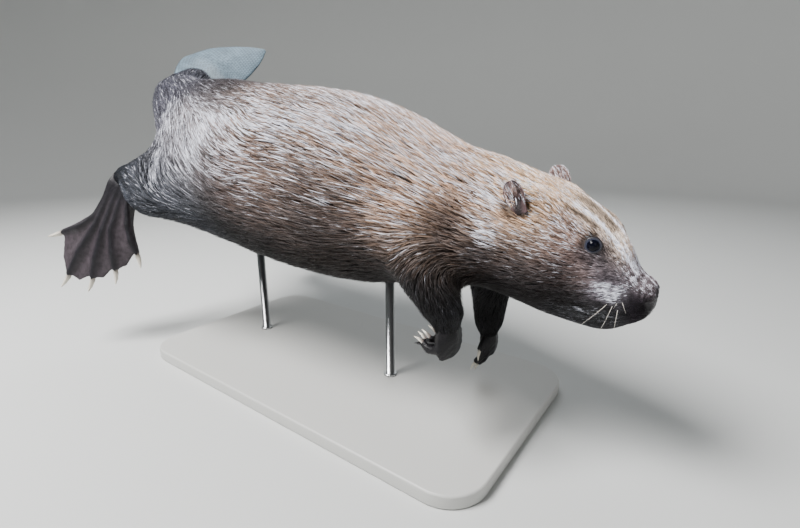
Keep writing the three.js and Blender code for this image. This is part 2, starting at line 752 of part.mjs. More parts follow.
// A limb's leg, foot and claws, parted by the plane that halves the angle at the joint.
const limbs = Object.entries(LIMBS).map(([name, limb]) => {
  const { at, to, size } = limb.block;
  const place = frame(point(...at), point(...to), NEARLY_UP);
  const joint = point(...limb.end.at);
  const toFoot = point(...limb.end.to);
  const footPlace = frame(joint, toFoot, point(...limb.end.up));
  const parting = point(...to).normalize().add(toFoot.clone().normalize()).normalize();
  const hind = limb.curl === undefined;
  const made = hind ? hindFoot(limb.side) : hand(limb.side, limb.curl);
  const clawSize = hind ? HIND_CLAW : FINGER_CLAW;
  const clawOn = (digit, extra) => claw(digit, clawSize, extra).transform(footPlace.elements);
  const foot = made.flesh.transform(footPlace.elements).intersect(beyond(joint, parting));
  const leg = cutFlesh(block(place, size), hind ? CELLS.hind_leg : CELLS.foreleg);
  return {
    name,
    footName: limb.foot,
    cutter: block(place, size, GAP),
    leg: leg.intersect(before(joint, parting)),
    foot: made.digits.reduce((rest, digit) => rest.subtract(clawOn(digit, GAP)), foot),
    claws: made.digits.map((digit) => clawOn(digit, 0)),
  };
});
const withoutLimbs = (made) => limbs.reduce((rest, { cutter }) => rest.subtract(cutter), made);

for (const { name, footName, leg, foot, claws } of limbs) {
  add(name, leg, "dark_fur");
  add(footName, foot, "dark_skin");
  claws.forEach((made, i) => add(`claw_${footName}_${i + 1}`, made, "claw"));
}

const neckAt = point(...NECK_CUT.at);
const neckNormal = point(...NECK_CUT.normal).normalize();
const HEAD_SIZE = [210, 190, 230];
const headBlock = block(frame(neckAt, neckNormal, UP), HEAD_SIZE).intersect(beyond(neckAt, neckNormal));
let headMade = withoutLimbs(cutFlesh(headBlock, CELLS.head));
for (const [name, side] of Object.entries(SIDES)) {
  headMade = headMade.subtract(eyeOn(side, GAP)).subtract(earOn(side, GAP));
  add(`eye_${name}`, eyeOn(side), "eye");
  add(`ear_${name}`, earOn(side), "dark_skin");
}
add("head", headMade, "golden_fur");

const tailAt = point(...TAIL_CUT.at);
const tailNormal = point(...TAIL_CUT.normal).normalize();
const LENGTHS = [
  { name: "neck", cutter: slice(FAR, TRUNK_CUTS[0]).intersect(before(neckAt, neckNormal)) },
  { name: "chest", cutter: slice(TRUNK_CUTS[0], TRUNK_CUTS[1]) },
  { name: "loin", cutter: slice(TRUNK_CUTS[1], TRUNK_CUTS[2]) },
  { name: "haunches", cutter: slice(TRUNK_CUTS[2], TRUNK_CUTS[3]) },
  { name: "rump", cutter: slice(TRUNK_CUTS[3], TRUNK_CUTS[4]) },
  { name: "tail_root", cutter: slice(TRUNK_CUTS[4], -FAR).intersect(before(tailAt, tailNormal)) },
];
const GOLDEN = ["neck", "chest"];
for (const { name, cutter } of LENGTHS) {
  let made = withoutLimbs(cutFlesh(cutter, CELLS[name]));
  for (const rod of Object.values(RODS)) made = made.subtract(standRod(rod, GAP));
  add(name, made, GOLDEN.includes(name) ? "golden_fur" : "brown_fur");
}
add("tail_blade", blade().intersect(beyond(tailAt, tailNormal)), "tail_scales");

add("stand_base", standBase(), "stand");
for (const [name, rod] of Object.entries(RODS)) add(name, standRod(rod), "rod");

export default model;
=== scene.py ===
# A life-size museum model of a beaver, swimming with its head low, on a plain stand of two rods.
# Metres, +Z up. The beaver heads towards +X and its left side is towards +Y.
import math
from contextlib import contextmanager

import bmesh
import bpy
import numpy as np
from mathutils import Euler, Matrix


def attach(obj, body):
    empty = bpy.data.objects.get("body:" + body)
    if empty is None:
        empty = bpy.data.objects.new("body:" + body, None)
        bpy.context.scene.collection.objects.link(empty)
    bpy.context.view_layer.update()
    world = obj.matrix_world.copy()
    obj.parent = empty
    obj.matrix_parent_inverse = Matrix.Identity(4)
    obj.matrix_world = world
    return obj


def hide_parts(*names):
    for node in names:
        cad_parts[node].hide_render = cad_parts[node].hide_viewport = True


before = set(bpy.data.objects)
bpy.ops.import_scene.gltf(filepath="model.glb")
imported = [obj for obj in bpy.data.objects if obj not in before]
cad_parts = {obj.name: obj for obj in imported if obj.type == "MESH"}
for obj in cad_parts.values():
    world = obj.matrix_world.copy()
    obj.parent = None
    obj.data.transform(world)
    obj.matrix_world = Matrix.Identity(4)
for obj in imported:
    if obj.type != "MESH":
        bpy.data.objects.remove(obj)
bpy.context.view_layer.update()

# ---------------------------------------------------------------- camera, floor and lights
# The camera stands close to the beaver's right shoulder and looks down at it a little, with a wide
# lens. A pale studio bowl, which is floor and backdrop in one, and three soft boxes are round it.


def linked(name, data):
    """A new object of this data in the scene, at the origin."""
    made = bpy.data.objects.new(name, data)
    bpy.context.scene.collection.objects.link(made)
    return made


camera = linked("camera", bpy.data.cameras.new("camera"))
camera.data.sensor_width = 36
camera.data.lens = 20.25
camera.location = (0.420, -0.440, 0.332)
camera.rotation_euler = (math.radians(90 - 16), 0, math.radians(36))
bpy.context.scene.camera = camera


def soft_box(name, place, aim, size, watts, colour):
    """A square area light at a place, turned so that it faces its aim."""
    light = bpy.data.lights.new(name, "AREA")
    light.shape = "SQUARE"
    light.size = size
    light.energy = watts
    light.color = colour
    lamp = linked(name, light)
    lamp.location = place
    to = np.subtract(aim, place)
    lamp.rotation_euler = (math.atan2(math.hypot(to[0], to[1]), -to[2]), 0, math.atan2(-to[0], to[1]))


soft_box("key_light", (-0.5, -0.9, 1.7), (-0.05, 0, 0.3), 0.8, 98, (1.0, 0.99, 0.985))
soft_box("back_light", (-0.6, 1.1, 1.7), (-0.1, 0, 0.3), 1.2, 16, (0.93, 0.97, 1.0))
soft_box("fill_light", (1.5, -0.8, 1.0), (0.1, 0, 0.25), 1.2, 5, (1.0, 0.98, 0.97))

world = bpy.data.worlds.new("studio")
bpy.context.scene.world = world
world.use_nodes = True
world.node_tree.nodes["Background"].inputs["Color"].default_value = (0.82, 0.87, 0.92, 1)
world.node_tree.nodes["Background"].inputs["Strength"].default_value = 0.12


def mesh_of(name, points, faces, smooth=True):
    """A mesh from an array of points and an array of faces that all have the same number of corners."""
    mesh = bpy.data.meshes.new(name)
    mesh.vertices.add(len(points))
    mesh.vertices.foreach_set("co", np.ascontiguousarray(points, np.float32).ravel())
    corners = np.ascontiguousarray(faces, np.int32)
    mesh.loops.add(corners.size)
    mesh.loops.foreach_set("vertex_index", corners.ravel())
    mesh.polygons.add(len(corners))
    mesh.polygons.foreach_set("loop_start", np.arange(0, corners.size, corners.shape[1], dtype=np.int32))
    mesh.polygons.foreach_set("use_smooth", np.full(len(corners), smooth))
    mesh.update(calc_edges=True)
    return mesh


def grid_faces(rows, columns, closed=True):
    """The four-cornered faces between neighbouring rows of a grid, whose columns may close on themselves."""
    across = columns if closed else columns - 1
    r, c = np.meshgrid(np.arange(rows - 1), np.arange(across), indexing="ij")
    here, beside = r * columns + c, r * columns + (c + 1) % columns
    return np.stack([here, beside, beside + columns, here + columns], -1).reshape(-1, 4)


def material_of(name, roughness, colour=(0.5, 0.5, 0.5), metallic=0.0, specular=0.5):
    """A new material, its nodes, its links and its shader."""
    made = bpy.data.materials.new(name)
    made.use_nodes = True
    nodes, links = made.node_tree.nodes, made.node_tree.links
    shader = nodes["Principled BSDF"]
    shader.inputs["Roughness"].default_value = roughness
    shader.inputs["Base Color"].default_value = (*colour, 1)
    shader.inputs["Metallic"].default_value = metallic
    shader.inputs["Specular IOR Level"].default_value = specular
    return made, nodes, links, shader


FLOOR_RADIUS = 2.6
BOWL_BEND = 1.0
BOWL_HEIGHT = 2.8
turn = np.linspace(0, 2 * math.pi, 96, endpoint=False)
bend = np.linspace(0, math.pi / 2, 16)
radii = np.concatenate([[0.01, 1.3], FLOOR_RADIUS + BOWL_BEND * np.sin(bend), [FLOOR_RADIUS + BOWL_BEND]])
heights = np.concatenate([[0, 0], BOWL_BEND * (1 - np.cos(bend)), [BOWL_HEIGHT]])
bowl_points = np.stack(
    [np.outer(radii, np.cos(turn)), np.outer(radii, np.sin(turn)), np.outer(heights, np.ones(96))], -1
)
bowl = linked("studio_bowl", mesh_of("studio_bowl", bowl_points.reshape(-1, 3), grid_faces(len(radii), 96)))
bowl_finish, _, _, _ = material_of("pale_paper", 0.9, (0.58, 0.59, 0.58))
bowl.data.materials.append(bowl_finish)

# ---------------------------------------------------------------- skin
# One skin covers head, trunk, tail root and legs. It lies inside the model's outline by the depth of the
# coat. It is remeshed from the lengths of flesh, smoothed, and worked finer over the face.

FLESH = ["head", "neck", "chest", "loin", "haunches", "rump", "tail_root"]
FLESH += ["hind_leg_right", "hind_leg_left", "foreleg_right", "foreleg_left"]
MM = 0.001
SKIN_CELL = 4 * MM
CAD_GAP = 0.3 * MM  # growth that closes the cuts between neighbouring solids

# Ankle or wrist, the way the foot points, and the way its back faces.
FEET = {
    "hind_foot_right": ((-348, -111, 266), (-0.19, -0.45, -0.87), (0.61, -0.73, 0.25)),
    "hind_foot_left": ((-348, 111, 266), (-0.22, 0.38, -0.89), (0.66, 0.68, 0.25)),
    "hand_right": ((223, -90, 160), (0.04, 0.02, -1), (1, -0.1, 0.04)),
    "hand_left": ((197, 62, 92), (0.1, 0, -1), (1, 0, 0.1)),
}
STUMP = 24 * MM  # how far the legs' skin goes on inside each foot and hand

HEAD_AT = np.array([270, -2, 270]) * MM
HEAD_AXES = np.array(Euler([math.radians(a) for a in (6, 21, -5)], "XYZ").to_matrix())


def at_head(places):
    """Places in millimetres in the head's frame, X along the muzzle and Z through the crown, as the
    model's metres."""
    return HEAD_AT + MM * np.asarray(places, float) @ HEAD_AXES.T


def in_head(points):
    """The model's metres as millimetres in the head's frame."""
    return (points - HEAD_AT) @ HEAD_AXES / MM


def places(mesh):
    """A mesh's points as an array."""
    found = np.empty(len(mesh.vertices) * 3, np.float32)
    mesh.vertices.foreach_get("co", found)
    return found.reshape(-1, 3).astype(float)


def outwards(mesh):
    """A mesh's normals at its points as an array."""
    found = np.empty(len(mesh.vertices) * 3, np.float32)
    mesh.vertex_normals.foreach_get("vector", found)
    return found.reshape(-1, 3).astype(float)


def put(mesh, points):
    """Moves a mesh's points to new places."""
    mesh.vertices.foreach_set("co", np.ascontiguousarray(points, np.float32).ravel())
    mesh.update()


@contextmanager
def reshaped(sources, result):
    """The faces of some meshes, open for changes that are then written into the result."""
    shape = bmesh.new()
    for source in sources:
        shape.from_mesh(source)
    shape.verts.ensure_lookup_table()
    shape.faces.ensure_lookup_table()
    yield shape
    shape.to_mesh(result)
    shape.free()


def joined(name, meshes):
    """A mesh with the faces of some meshes."""
    mesh = bpy.data.meshes.new(name)
    with reshaped(meshes, mesh):
        return mesh


def merged_copy(node, grown=0.0):
    """A copy of a CAD node's mesh with its loose triangles merged, grown along its normals."""
    mesh = bpy.data.meshes.new(node)
    with reshaped([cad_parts[node].data], mesh) as shape:
        bmesh.ops.remove_doubles(shape, verts=shape.verts, dist=1e-6)
    put(mesh, places(mesh) + grown * outwards(mesh))
    return mesh


def applied(piece):
    """Replaces a piece's mesh by what its modifiers make of it."""
    seen = piece.evaluated_get(bpy.context.evaluated_depsgraph_get())
    made = bpy.data.meshes.new_from_object(seen)
    piece.modifiers.clear()
    piece.data = made
    return piece


def stump(node, ankle, forward):
    """The first length of a foot or hand, closed with a flat face."""
    mesh = merged_copy(node)
    forward = unit(np.array(forward))
    place = np.array(ankle) * MM + STUMP * forward
    with reshaped([mesh], mesh) as shape:
        whole = shape.verts[:] + shape.edges[:] + shape.faces[:]
        bmesh.ops.bisect_plane(shape, geom=whole, plane_co=place, plane_no=forward, clear_outer=True)
        bmesh.ops.holes_fill(shape, edges=[edge for edge in shape.edges if edge.is_boundary])
    return mesh


def remeshed(name, meshes, cell):
    """One closed surface round some meshes, in even cells."""
    piece = linked(name, joined(name, meshes))
    modifier = piece.modifiers.new("cells", "REMESH")
    modifier.mode = "VOXEL"
    modifier.voxel_size = cell
    return applied(piece)


def smoothed(mesh, amount, times):
    """Points that have moved towards the mean of their neighbours, each by its own amount each time."""
    points = places(mesh)
    ends = np.empty(len(mesh.edges) * 2, np.int32)
    mesh.edges.foreach_get("vertices", ends)
    a, b = ends.reshape(-1, 2).T
    n = len(points)
    count = np.bincount(a, minlength=n) + np.bincount(b, minlength=n)
    for _ in range(times):
        sums = [np.bincount(a, points[b, k], n) + np.bincount(b, points[a, k], n) for k in range(3)]
        points += amount[:, None] * (np.stack(sums, 1) / count[:, None] - points)
    return points


def unit(vectors):
    """Vectors at a length of one."""
    return vectors / np.maximum(np.linalg.norm(vectors, axis=-1, keepdims=True), 1e-9)


def rise(x, low, high):
    """Smooth step from 0 at low to 1 at high."""
    t = np.clip((x - low) / (high - low), 0, 1)
    return t * t * (3 - 2 * t)


def near(points, place, reach):
    """Gaussian closeness to a place: 1 there, 0.61 at the reach."""
    return np.exp(-0.5 * ((points - place) ** 2).sum(1) / reach**2)


def cut_in_four(mesh, chosen):
    """Subdivides the chosen faces once, with three-cornered faces where they end."""
    with reshaped([mesh], mesh) as shape:
        edges = {edge for i in np.flatnonzero(chosen) for edge in shape.faces[i].edges}
        bmesh.ops.subdivide_edges(shape, edges=list(edges), cuts=1, use_grid_fill=True)


def face_middles(mesh):
    """The middle of each face as an array."""
    found = np.empty(len(mesh.polygons) * 3, np.float32)
    mesh.polygons.foreach_get("center", found)
    return found.reshape(-1, 3).astype(float)


# Colours of the fur, 0 to 255 as the eye sees them. Jaw, throat, flank, lower, belly and leg are dark fur
# made darker still with painted shade, as under light from above.
FUR = {
    "crown": (208, 170, 132),
    "cheek": (110, 90, 84),
    "temple": (192, 160, 138),
    "jaw": (30, 25, 25),
    "throat": (10, 8, 9),
    "chin": (52, 52, 54),
    "muzzle": (112, 104, 112),
    # bridge: pale fur with painted sheen along the ridge
    "bridge": (206, 184, 164),
    "snout": (104, 92, 96),
    "nose": (26, 19, 28),
    "neck": (198, 162, 136),
    "shoulder": (180, 147, 124),
    "back": (146, 120, 104),
    "side": (106, 83, 74),
    "flank": (42, 32, 31),
    "lower": (9, 8, 11),
    "belly": (14, 12, 16),
    # hip: pale grey fur with painted wet sheen in it
    "hip": (138, 130, 132),
    "thigh": (54, 58, 66),
    "hock": (32, 36, 45),
    "rump": (40, 33, 34),
    "stem": (54, 53, 65),
    "leg": (5, 4, 8),
    # silver: the pale of hair tips, and in the marks over the hip also painted wet sheen
    "silver": (236, 238, 250),
}


def linear(colour):
    """A colour in 0 to 255 as the eye sees it, in the even steps that light adds up in."""
    c = np.asarray(colour, float) / 255
    return np.where(c < 0.04045, c / 12.92, ((c + 0.055) / 1.055) ** 2.4)


def on_both_sides(rows):
    """Rows whose first value is a place, and again for the other side where the place is off the middle."""
    return rows + [((x, -y, z), *rest) for (x, y, z), *rest in rows if y]


# The coat's make-up in places of the body: where, over what reach, its colour, how much of it is
# silvered, how deep it is, and how long and how wide a tuft is. All lengths are in millimetres.
HEAD_COAT = on_both_sides(
    [
        ((-25, 0, 28), 26, "crown", 0.45, 5, 17, 1.9),
        ((25, 0, 24), 20, "crown", 0.45, 3.5, 12, 1.5),
        ((60, 9, 16), 12, "bridge", 0.3, 2.6, 9, 1.3),
        ((88, 5, 2), 10, "bridge", 0.25, 2, 7, 1.1),
        ((110, 4, -14), 9, "snout", 0.35, 1.2, 4, 0.8),
        ((124, 7, -20), 6, "snout", 0.3, 0.8, 3, 0.7),
        ((126, 19, -36), 7, "nose", 0.0, 0.6, 2.5, 0.6),
        ((20, 42, 2), 16, "crown", 0.35, 3.2, 12, 1.5),
        ((52, 35, 2), 10, "side", 0.35, 2, 8, 1.2),
        ((86, 28, -12), 10, "muzzle", 0.15, 1.8, 6, 1.1),
        ((4, 56, -13), 17, "temple", 0.4, 4.5, 15, 1.8),
        ((46, 48, -18), 15, "cheek", 0.25, 3.4, 12, 1.5),
        ((78, 34, -23), 9, "cheek", 0.2, 2.4, 9, 1.3),
        ((24, 60, -30), 12, "flank", 0.2, 4, 14, 1.7),
        ((69, 40, -33), 7, "flank", 0.2, 2.6, 9, 1.3),
        ((24, 62, -46), 14, "jaw", 0.1, 4.5, 15, 1.8),
        ((56, 48, -46), 13, "jaw", 0.1, 3.4, 12, 1.5),
        ((80, 36, -47), 9, "jaw", 0.1, 2.4, 9, 1.3),
        ((4, 66, -40), 9, "flank", 0.15, 4.5, 15, 1.7),
        ((40, 44, -76), 22, "jaw", 0.1, 4, 14, 1.7),
        ((10, 12, -102), 26, "throat", 0.0, 5, 17, 1.9),
        ((62, 10, -97), 18, "chin", 0.1, 3, 11, 1.5),
        ((90, 20, -76), 12, "chin", 0.2, 2, 7, 1.2),
        ((101, 29, -32), 7.5, "muzzle", 0.3, 1.6, 6, 1.0),
        ((112, 26, -50), 9, "chin", 0.2, 1.3, 5, 0.9),
        ((106, 6, -72), 12, "chin", 0.1, 1.4, 5, 0.9),
        ((133, 0, -32), 9, "nose", 0.1, 0.4, 2, 0.6),
        ((128, 14, -42), 7, "nose", 0.0, 0.5, 2.5, 0.6),
    ]
)
TRUNK_COAT = on_both_sides(
    [
        ((222, 0, 322), 34, "neck", 0.45, 6.5, 24, 2.2),
        ((222, 72, 280), 30, "neck", 0.5, 6.5, 23, 2.1),
        ((225, 68, 215), 30, "throat", 0.05, 6, 20, 2.1),
        ((225, 72, 246), 13, "flank", 0.05, 6, 20, 2.1),
        ((222, 0, 175), 34, "belly", 0.0, 6, 20, 2.2),
        ((165, 0, 340), 45, "shoulder", 0.45, 8, 30, 2.4),
        ((165, 85, 300), 40, "shoulder", 0.5, 8, 30, 2.4),
        ((170, 96, 262), 20, "shoulder", 0.45, 8, 30, 2.4),
        ((138, 100, 244), 22, "flank", 0.15, 8, 29, 2.4),
        ((172, 92, 225), 34, "lower", 0.1, 6.5, 24, 2.3),
        ((150, 45, 160), 42, "belly", 0.0, 6.5, 24, 2.4),
        ((80, 0, 362), 52, "back", 0.45, 9, 34, 2.6),
        ((80, 100, 300), 50, "back", 0.45, 9, 34, 2.6),
        ((85, 118, 258), 30, "flank", 0.2, 9, 33, 2.6),
        ((90, 105, 215), 38, "lower", 0.0, 8, 30, 2.6),
        ((60, 0, 140), 60, "belly", 0.0, 8, 28, 2.7),
        ((-10, 0, 392), 55, "back", 0.45, 9, 34, 2.6),
        ((-10, 114, 325), 42, "back", 0.55, 9, 34, 2.6),
        ((-20, 128, 280), 32, "side", 0.3, 9, 34, 2.6),
        ((-20, 126, 235), 34, "lower", 0.1, 9, 33, 2.6),
        ((-20, 105, 175), 46, "belly", 0.0, 8, 28, 2.7),
        ((-110, 0, 398), 60, "rump", 0.2, 9, 33, 2.6),
        ((-100, 128, 310), 34, "hip", 0.5, 9, 30, 2.5),
        ((-68, 134, 262), 22, "flank", 0.15, 9, 30, 2.5),
        ((-84, 127, 232), 26, "lower", 0.0, 8, 28, 2.5),
        ((-128, 132, 245), 34, "thigh", 0.15, 8, 28, 2.5),
        ((-110, 0, 145), 70, "belly", 0.0, 8, 28, 2.7),
        ((-175, 122, 330), 36, "hip", 0.5, 9, 28, 2.5),
        ((-190, 130, 275), 32, "thigh", 0.3, 8, 26, 2.4),
        ((-200, 125, 225), 36, "hock", 0.1, 7, 24, 2.4),
        ((-200, 30, 400), 50, "rump", 0.12, 8, 29, 2.6),
        ((-220, 0, 190), 60, "belly", 0.0, 7, 26, 2.6),
        ((-245, 80, 365), 40, "stem", 0.3, 8, 26, 2.4),
        ((-268, 132, 262), 28, "hock", 0.15, 5, 18, 2.1),
        ((-285, 0, 420), 40, "stem", 0.2, 8, 27, 2.5),
        ((-305, 0, 240), 50, "belly", 0.0, 6.5, 24, 2.5),
        ((-328, 113, 272), 22, "hock", 0.0, 2.5, 12, 1.8),
        ((-352, 104, 262), 16, "leg", 0.0, 1.6, 9, 1.5),
        ((-335, 40, 385), 36, "stem", 0.25, 7, 24, 2.3),
        ((-382, 20, 408), 30, "stem", 0.2, 5.5, 21, 2.2),
        ((-398, 40, 378), 30, "hock", 0.05, 5.5, 21, 2.3),
    ]
) + [
    ((-428, 84, 432), 20, "stem", 0.1, 3, 14, 2.0),
    ((186, -96, 205), 18, "leg", 0.1, 4.5, 17, 2.0),
    ((222, -92, 165), 16, "leg", 0.1, 1.6, 9, 1.5),
    ((192, 64, 165), 22, "leg", 0.0, 4, 16, 2.0),
    ((197, 62, 105), 18, "leg", 0.0, 1.6, 9, 1.5),
]
# Streaks and patches on each side: where they start and end, their reach, how much silver they add and
# how much they darken the fur.
HEAD_MARKS = [
    # The pale stripe down the forehead, and its two marks on along the bridge to the nose, are a painted
    # highlight of wet sheen.
    ((46, 15, 19), (88, 11, 3), 2.2, 1.3, -0.45),  # pale stripe down the forehead
    ((46, 3, 22), (78, 3, 11), 4.4, -0.35, 0.62),
    ((40, 23, 16), (72, 20, 10), 1.8, -0.6, 0.75),  # dark line below it
    ((96, 9, -3), (112, 8, -12), 3, 0.7, -0.2),
    ((110, 12, -10), (116, 12, -26), 1.6, 1.0, -0.3),
    ((84, 25, 0), (98, 25, -16), 3.0, -0.3, 0.45),  # dark band in front of the eye
    ((95, 26, -19), (108, 25, -22), 2.4, -0.5, 0.6),
    ((63, 33, -12), (80, 31, -15), 2.6, -0.2, 0.3),
    ((101, 29, -31), (107, 28, -34), 3.4, 0.9, -0.1),  # whisker pad
    ((106, 27, -27), (114, 24, -24), 2.0, 1.0, -0.1),
    ((98, 30, -44), (112, 28, -44), 2.2, -0.8, 0.7),
    ((88, 33, -59), (98, 30, -63), 2.0, 0.8, -0.2),
    ((-16, 52, 2), (-9, 52, -2), 4.0, 0.9, -0.2),  # below the ear
    # The ear's opening is darkened as painted shade in the hollow, and the skin over it as painted shadow
    # under the ear's edge.
    ((-2, 50, 0), (10, 48, -3), 4, -0.8, 0.85),  # its opening
    ((-10, 47, 17), (10, 44, 12), 2.6, -0.4, 0.7),  # over it
]
BODY_MARKS = [
    # The dark lines of the fold behind the cheek are painted shade in its creases, with a pale ridge between
    # them.
    ((227, 66, 268), (234, 68, 259), 2.4, -0.5, 0.8),  # fold behind the cheek
    ((236, 68, 288), (236, 72, 262), 4, 0.6, 0.0),
    ((243, 70, 287), (242, 73, 266), 2.4, -0.4, 0.6),
    ((246, 70, 252), (258, 66, 250), 2.4, -0.5, 0.8),
    ((243, 68, 246), (256, 64, 240), 5.2, 1.5, -0.6),  # tuft on the neck
    # Over the hip and down the haunch the silver is pale hair tips and painted wet sheen.
    ((-36, 106, 346), (-92, 114, 338), 9, 0.7, -0.6),  # band over the hip
    ((-52, 118, 329), (-112, 120, 326), 4.5, 0.55, 0.0),
    ((-26, 120, 312), (-72, 127, 307), 6, 0.4, 0.0),
    ((-104, 124, 322), (-126, 132, 288), 8, 0.8, -0.35),  # fan down the haunch
    ((-136, 124, 326), (-146, 132, 286), 5, 0.5, 0.0),
    ((-164, 122, 325), (-172, 130, 292), 7, 0.4, 0.0),
    ((-222, 130, 302), (-212, 136, 258), 7, 0.7, 0.0),  # band down the back of the thigh
    ((-196, 128, 310), (-196, 134, 285), 4, 0.4, 0.0),
    ((-225, 98, 350), (-235, 115, 320), 7, 0.4, 0.0),  # sparse streaks on the stem
    ((-262, 70, 370), (-250, 92, 340), 5, 0.4, 0.0),
    ((-60, 132, 285), (-40, 131, 287), 5, 0.45, 0.0),
    ((-24, 102, 348), (112, 72, 334), 11, 0.5, -0.25),
    ((10, 104, 335), (62, 99, 332), 4, 0.5, 0.0),  # long streaks on the middle of the back
    ((30, 110, 322), (80, 106, 316), 3.4, 0.45, 0.0),
    ((92, 112, 262), (140, 101, 262), 5, 0.5, 0.0),  # streaks on the flank
    ((50, 118, 262), (86, 114, 258), 4, -0.3, 0.4),
    ((10, 127, 248), (34, 124, 238), 4, 0.45, 0.0),
]
SILVER_TINT = 0.14  # how far a silvered tuft's own colour goes towards silver


def line_marks():
    """The marks of both sides in the model's metres."""
    rows = []
    for marks, to_model in ((HEAD_MARKS, at_head), (BODY_MARKS, lambda place: MM * np.array(place, float))):
        for start, end, *rest in marks:
            for side in (1, -1):
                mirror = np.array([1, side, 1])
                rows.append((to_model(mirror * start), to_model(mirror * end), *rest))
    return rows


def distance_to_line(points, line):
    """How far each point is from the nearest of a line's straight stretches."""
    line = np.asarray(line, float)
    nearest = np.full(len(points), 1e9)
    for start, end in zip(line[:-1], line[1:]):
        along = end - start
        t = np.clip((points - start) @ along / (along @ along), 0, 1)
        nearest = np.minimum(nearest, np.linalg.norm(points - start - t[:, None] * along, axis=1))
    return nearest


coat_rows = [(at_head(place), *rest) for place, *rest in HEAD_COAT]
coat_rows += [(MM * np.array(place, float), *rest) for place, *rest in TRUNK_COAT]
coat_marks = line_marks()


def coat_at(points):
    """Colour, silvering, depth, tuft length and tuft width at points: the mean of the coat's rows, each
    weighed by its closeness and by how small its reach is, with the marks on top."""
    weights, values = [], []
    for place, reach, fur, *numbers in coat_rows:
        weights.append(near(points, place, reach * MM) * (30 / reach) ** 2 + 1e-12)
        values.append([*linear(FUR[fur]), *numbers])
    weights = np.array(weights)
    mean = (weights.T @ np.array(values)) / weights.sum(0)[:, None]
    colour, silver = mean[:, :3], mean[:, 3]
    for start, end, reach, more_silver, darker in coat_marks:
        mark = np.exp(-0.5 * (distance_to_line(points, [start, end]) / (reach * MM)) ** 2)
        silver = silver + more_silver * mark
        colour = colour * (1 - darker * mark)[:, None]
    return colour, np.clip(silver, 0, 1.2), mean[:, 4] * MM, mean[:, 5] * MM, mean[:, 6] * MM


flesh = [merged_copy(node, CAD_GAP) for node in FLESH]
skin = remeshed("skin", flesh + [stump(name, *foot[:2]) for name, foot in FEET.items()], SKIN_CELL)
surface = skin.data
points = places(surface)
x, y, z = points.T
hind_legs = rise(-x, 0.29, 0.33) * rise(np.abs(y), 0.09, 0.11)
forelegs = rise(x, 0.16, 0.19) * rise(-z, -0.2, -0.16)
head, tail = rise(x, 0.22, 0.29), rise(-x, 0.375, 0.415)
softness = 0.5 * (1 - 0.72 * np.maximum.reduce([hind_legs, forelegs, head, tail]))
put(surface, smoothed(surface, softness, 26))
points = places(surface)
_, _, depth, _, _ = coat_at(points)
for ankle, forward, _ in FEET.values():
    beyond = (points - np.array(ankle) * MM) @ unit(np.array(forward))
    depth += 3.5 * MM * rise(beyond, 5 * MM, STUMP) * (near(points, np.array(ankle) * MM, 30 * MM) > 0.3)
put(surface, points - depth[:, None] * outwards(surface))
put(surface, smoothed(surface, np.full(len(points), 0.4), 3))

# The face is cut finer twice, then its forms are raised and sunk.
for edge in (-30, 52):
    middles = in_head(face_middles(surface))
    cut_in_four(surface, middles[:, 0] > edge)
    put(surface, smoothed(surface, 0.5 * rise(in_head(places(surface))[:, 0], edge - 4, edge + 4), 3))

EYE_RADIUS = 7.0 * MM
EYES = {"right": at_head((71, -27.5, -1.5)), "left": at_head((71, 27.5, -1.5))}
GAZE = {"right": (0.3, -0.9, 0.3), "left": (0.3, 0.9, 0.3)}

# Forms of the face in the head's frame: place, reach along each axis, and how far they stand out.
FACE_FORMS = on_both_sides(
    [
        ((62, 29, 9), (13, 7, 3.5), 1.6),  # brow over the eye
        ((74, 31, -15), (12, 8, 5), -1.4),  # hollow under the eye
        ((98, 22, -8), (12, 7, 7), -1.0),  # side of the muzzle's bridge
        ((124, 15, -25), (6, 5, 5), 1.8),  # wing of the nostril
        ((131, 12, -34), (4.5, 4.0, 3.6), -4.5),  # nostril
        ((138, 0, -34), (9, 1.6, 12), -1.6),  # groove between the nostrils
        ((112, 28, -44), (12, 8, 9), 1.4),  # whisker pad
        ((3, 48, 5), (8, 9, 9), -3.5),  # hollow under the ear
    ]
)
LIP_LINE = [(141, 0, -51), (132, 15, -52), (118, 27, -55), (106, 29, -64), (98, 28, -73)]


EAR_HOLLOW_LINE = [(4, 49, 0), (-12, 49, 17)]


def distance_on_both_sides(local, line):
    """How far points in the head's frame are from a line on its left, or from its mirror image."""
    return distance_to_line(local * (1, 0, 1) + np.abs(local) * (0, 1, 0), line)


def nose_pad(local):
    """1 on the bare pad of the nose, and 0 away from it."""
    return np.exp(-0.5 * (((local - (134, 0, -36)) / (9, 14, 13)) ** 2).sum(1) ** 2)


def from_eye(points, side):
    """How far points are from an eye's axis, and from its middle."""
    gaze = HEAD_AXES @ GAZE[side] / np.linalg.norm(GAZE[side])
    apart = points - EYES[side]
    from_axis = np.linalg.norm(apart - (apart @ gaze)[:, None] * gaze, axis=1)
    return from_axis, np.linalg.norm(apart, axis=1)


points = places(surface)
local = in_head(points)
out = np.zeros(len(points))
for place, reach, height in FACE_FORMS:
    out += height * np.exp(-0.5 * (((local - place) / reach) ** 2).sum(1))
out -= 1.5 * np.exp(-0.5 * (distance_on_both_sides(local, LIP_LINE) / 1.5) ** 2)
for side in EYES:
    from_axis, from_middle = np.array(from_eye(points, side)) / MM
    rim, socket = np.exp(-0.5 * ((from_axis - 9) / 3.2) ** 2), np.exp(-0.5 * (from_axis / 3.4) ** 4)
    out += (from_middle < 20) * (1.6 * rim - 5.5 * socket)
put(surface, points + MM * out[:, None] * outwards(surface))

skin_points, skin_normals = places(surface), outwards(surface)


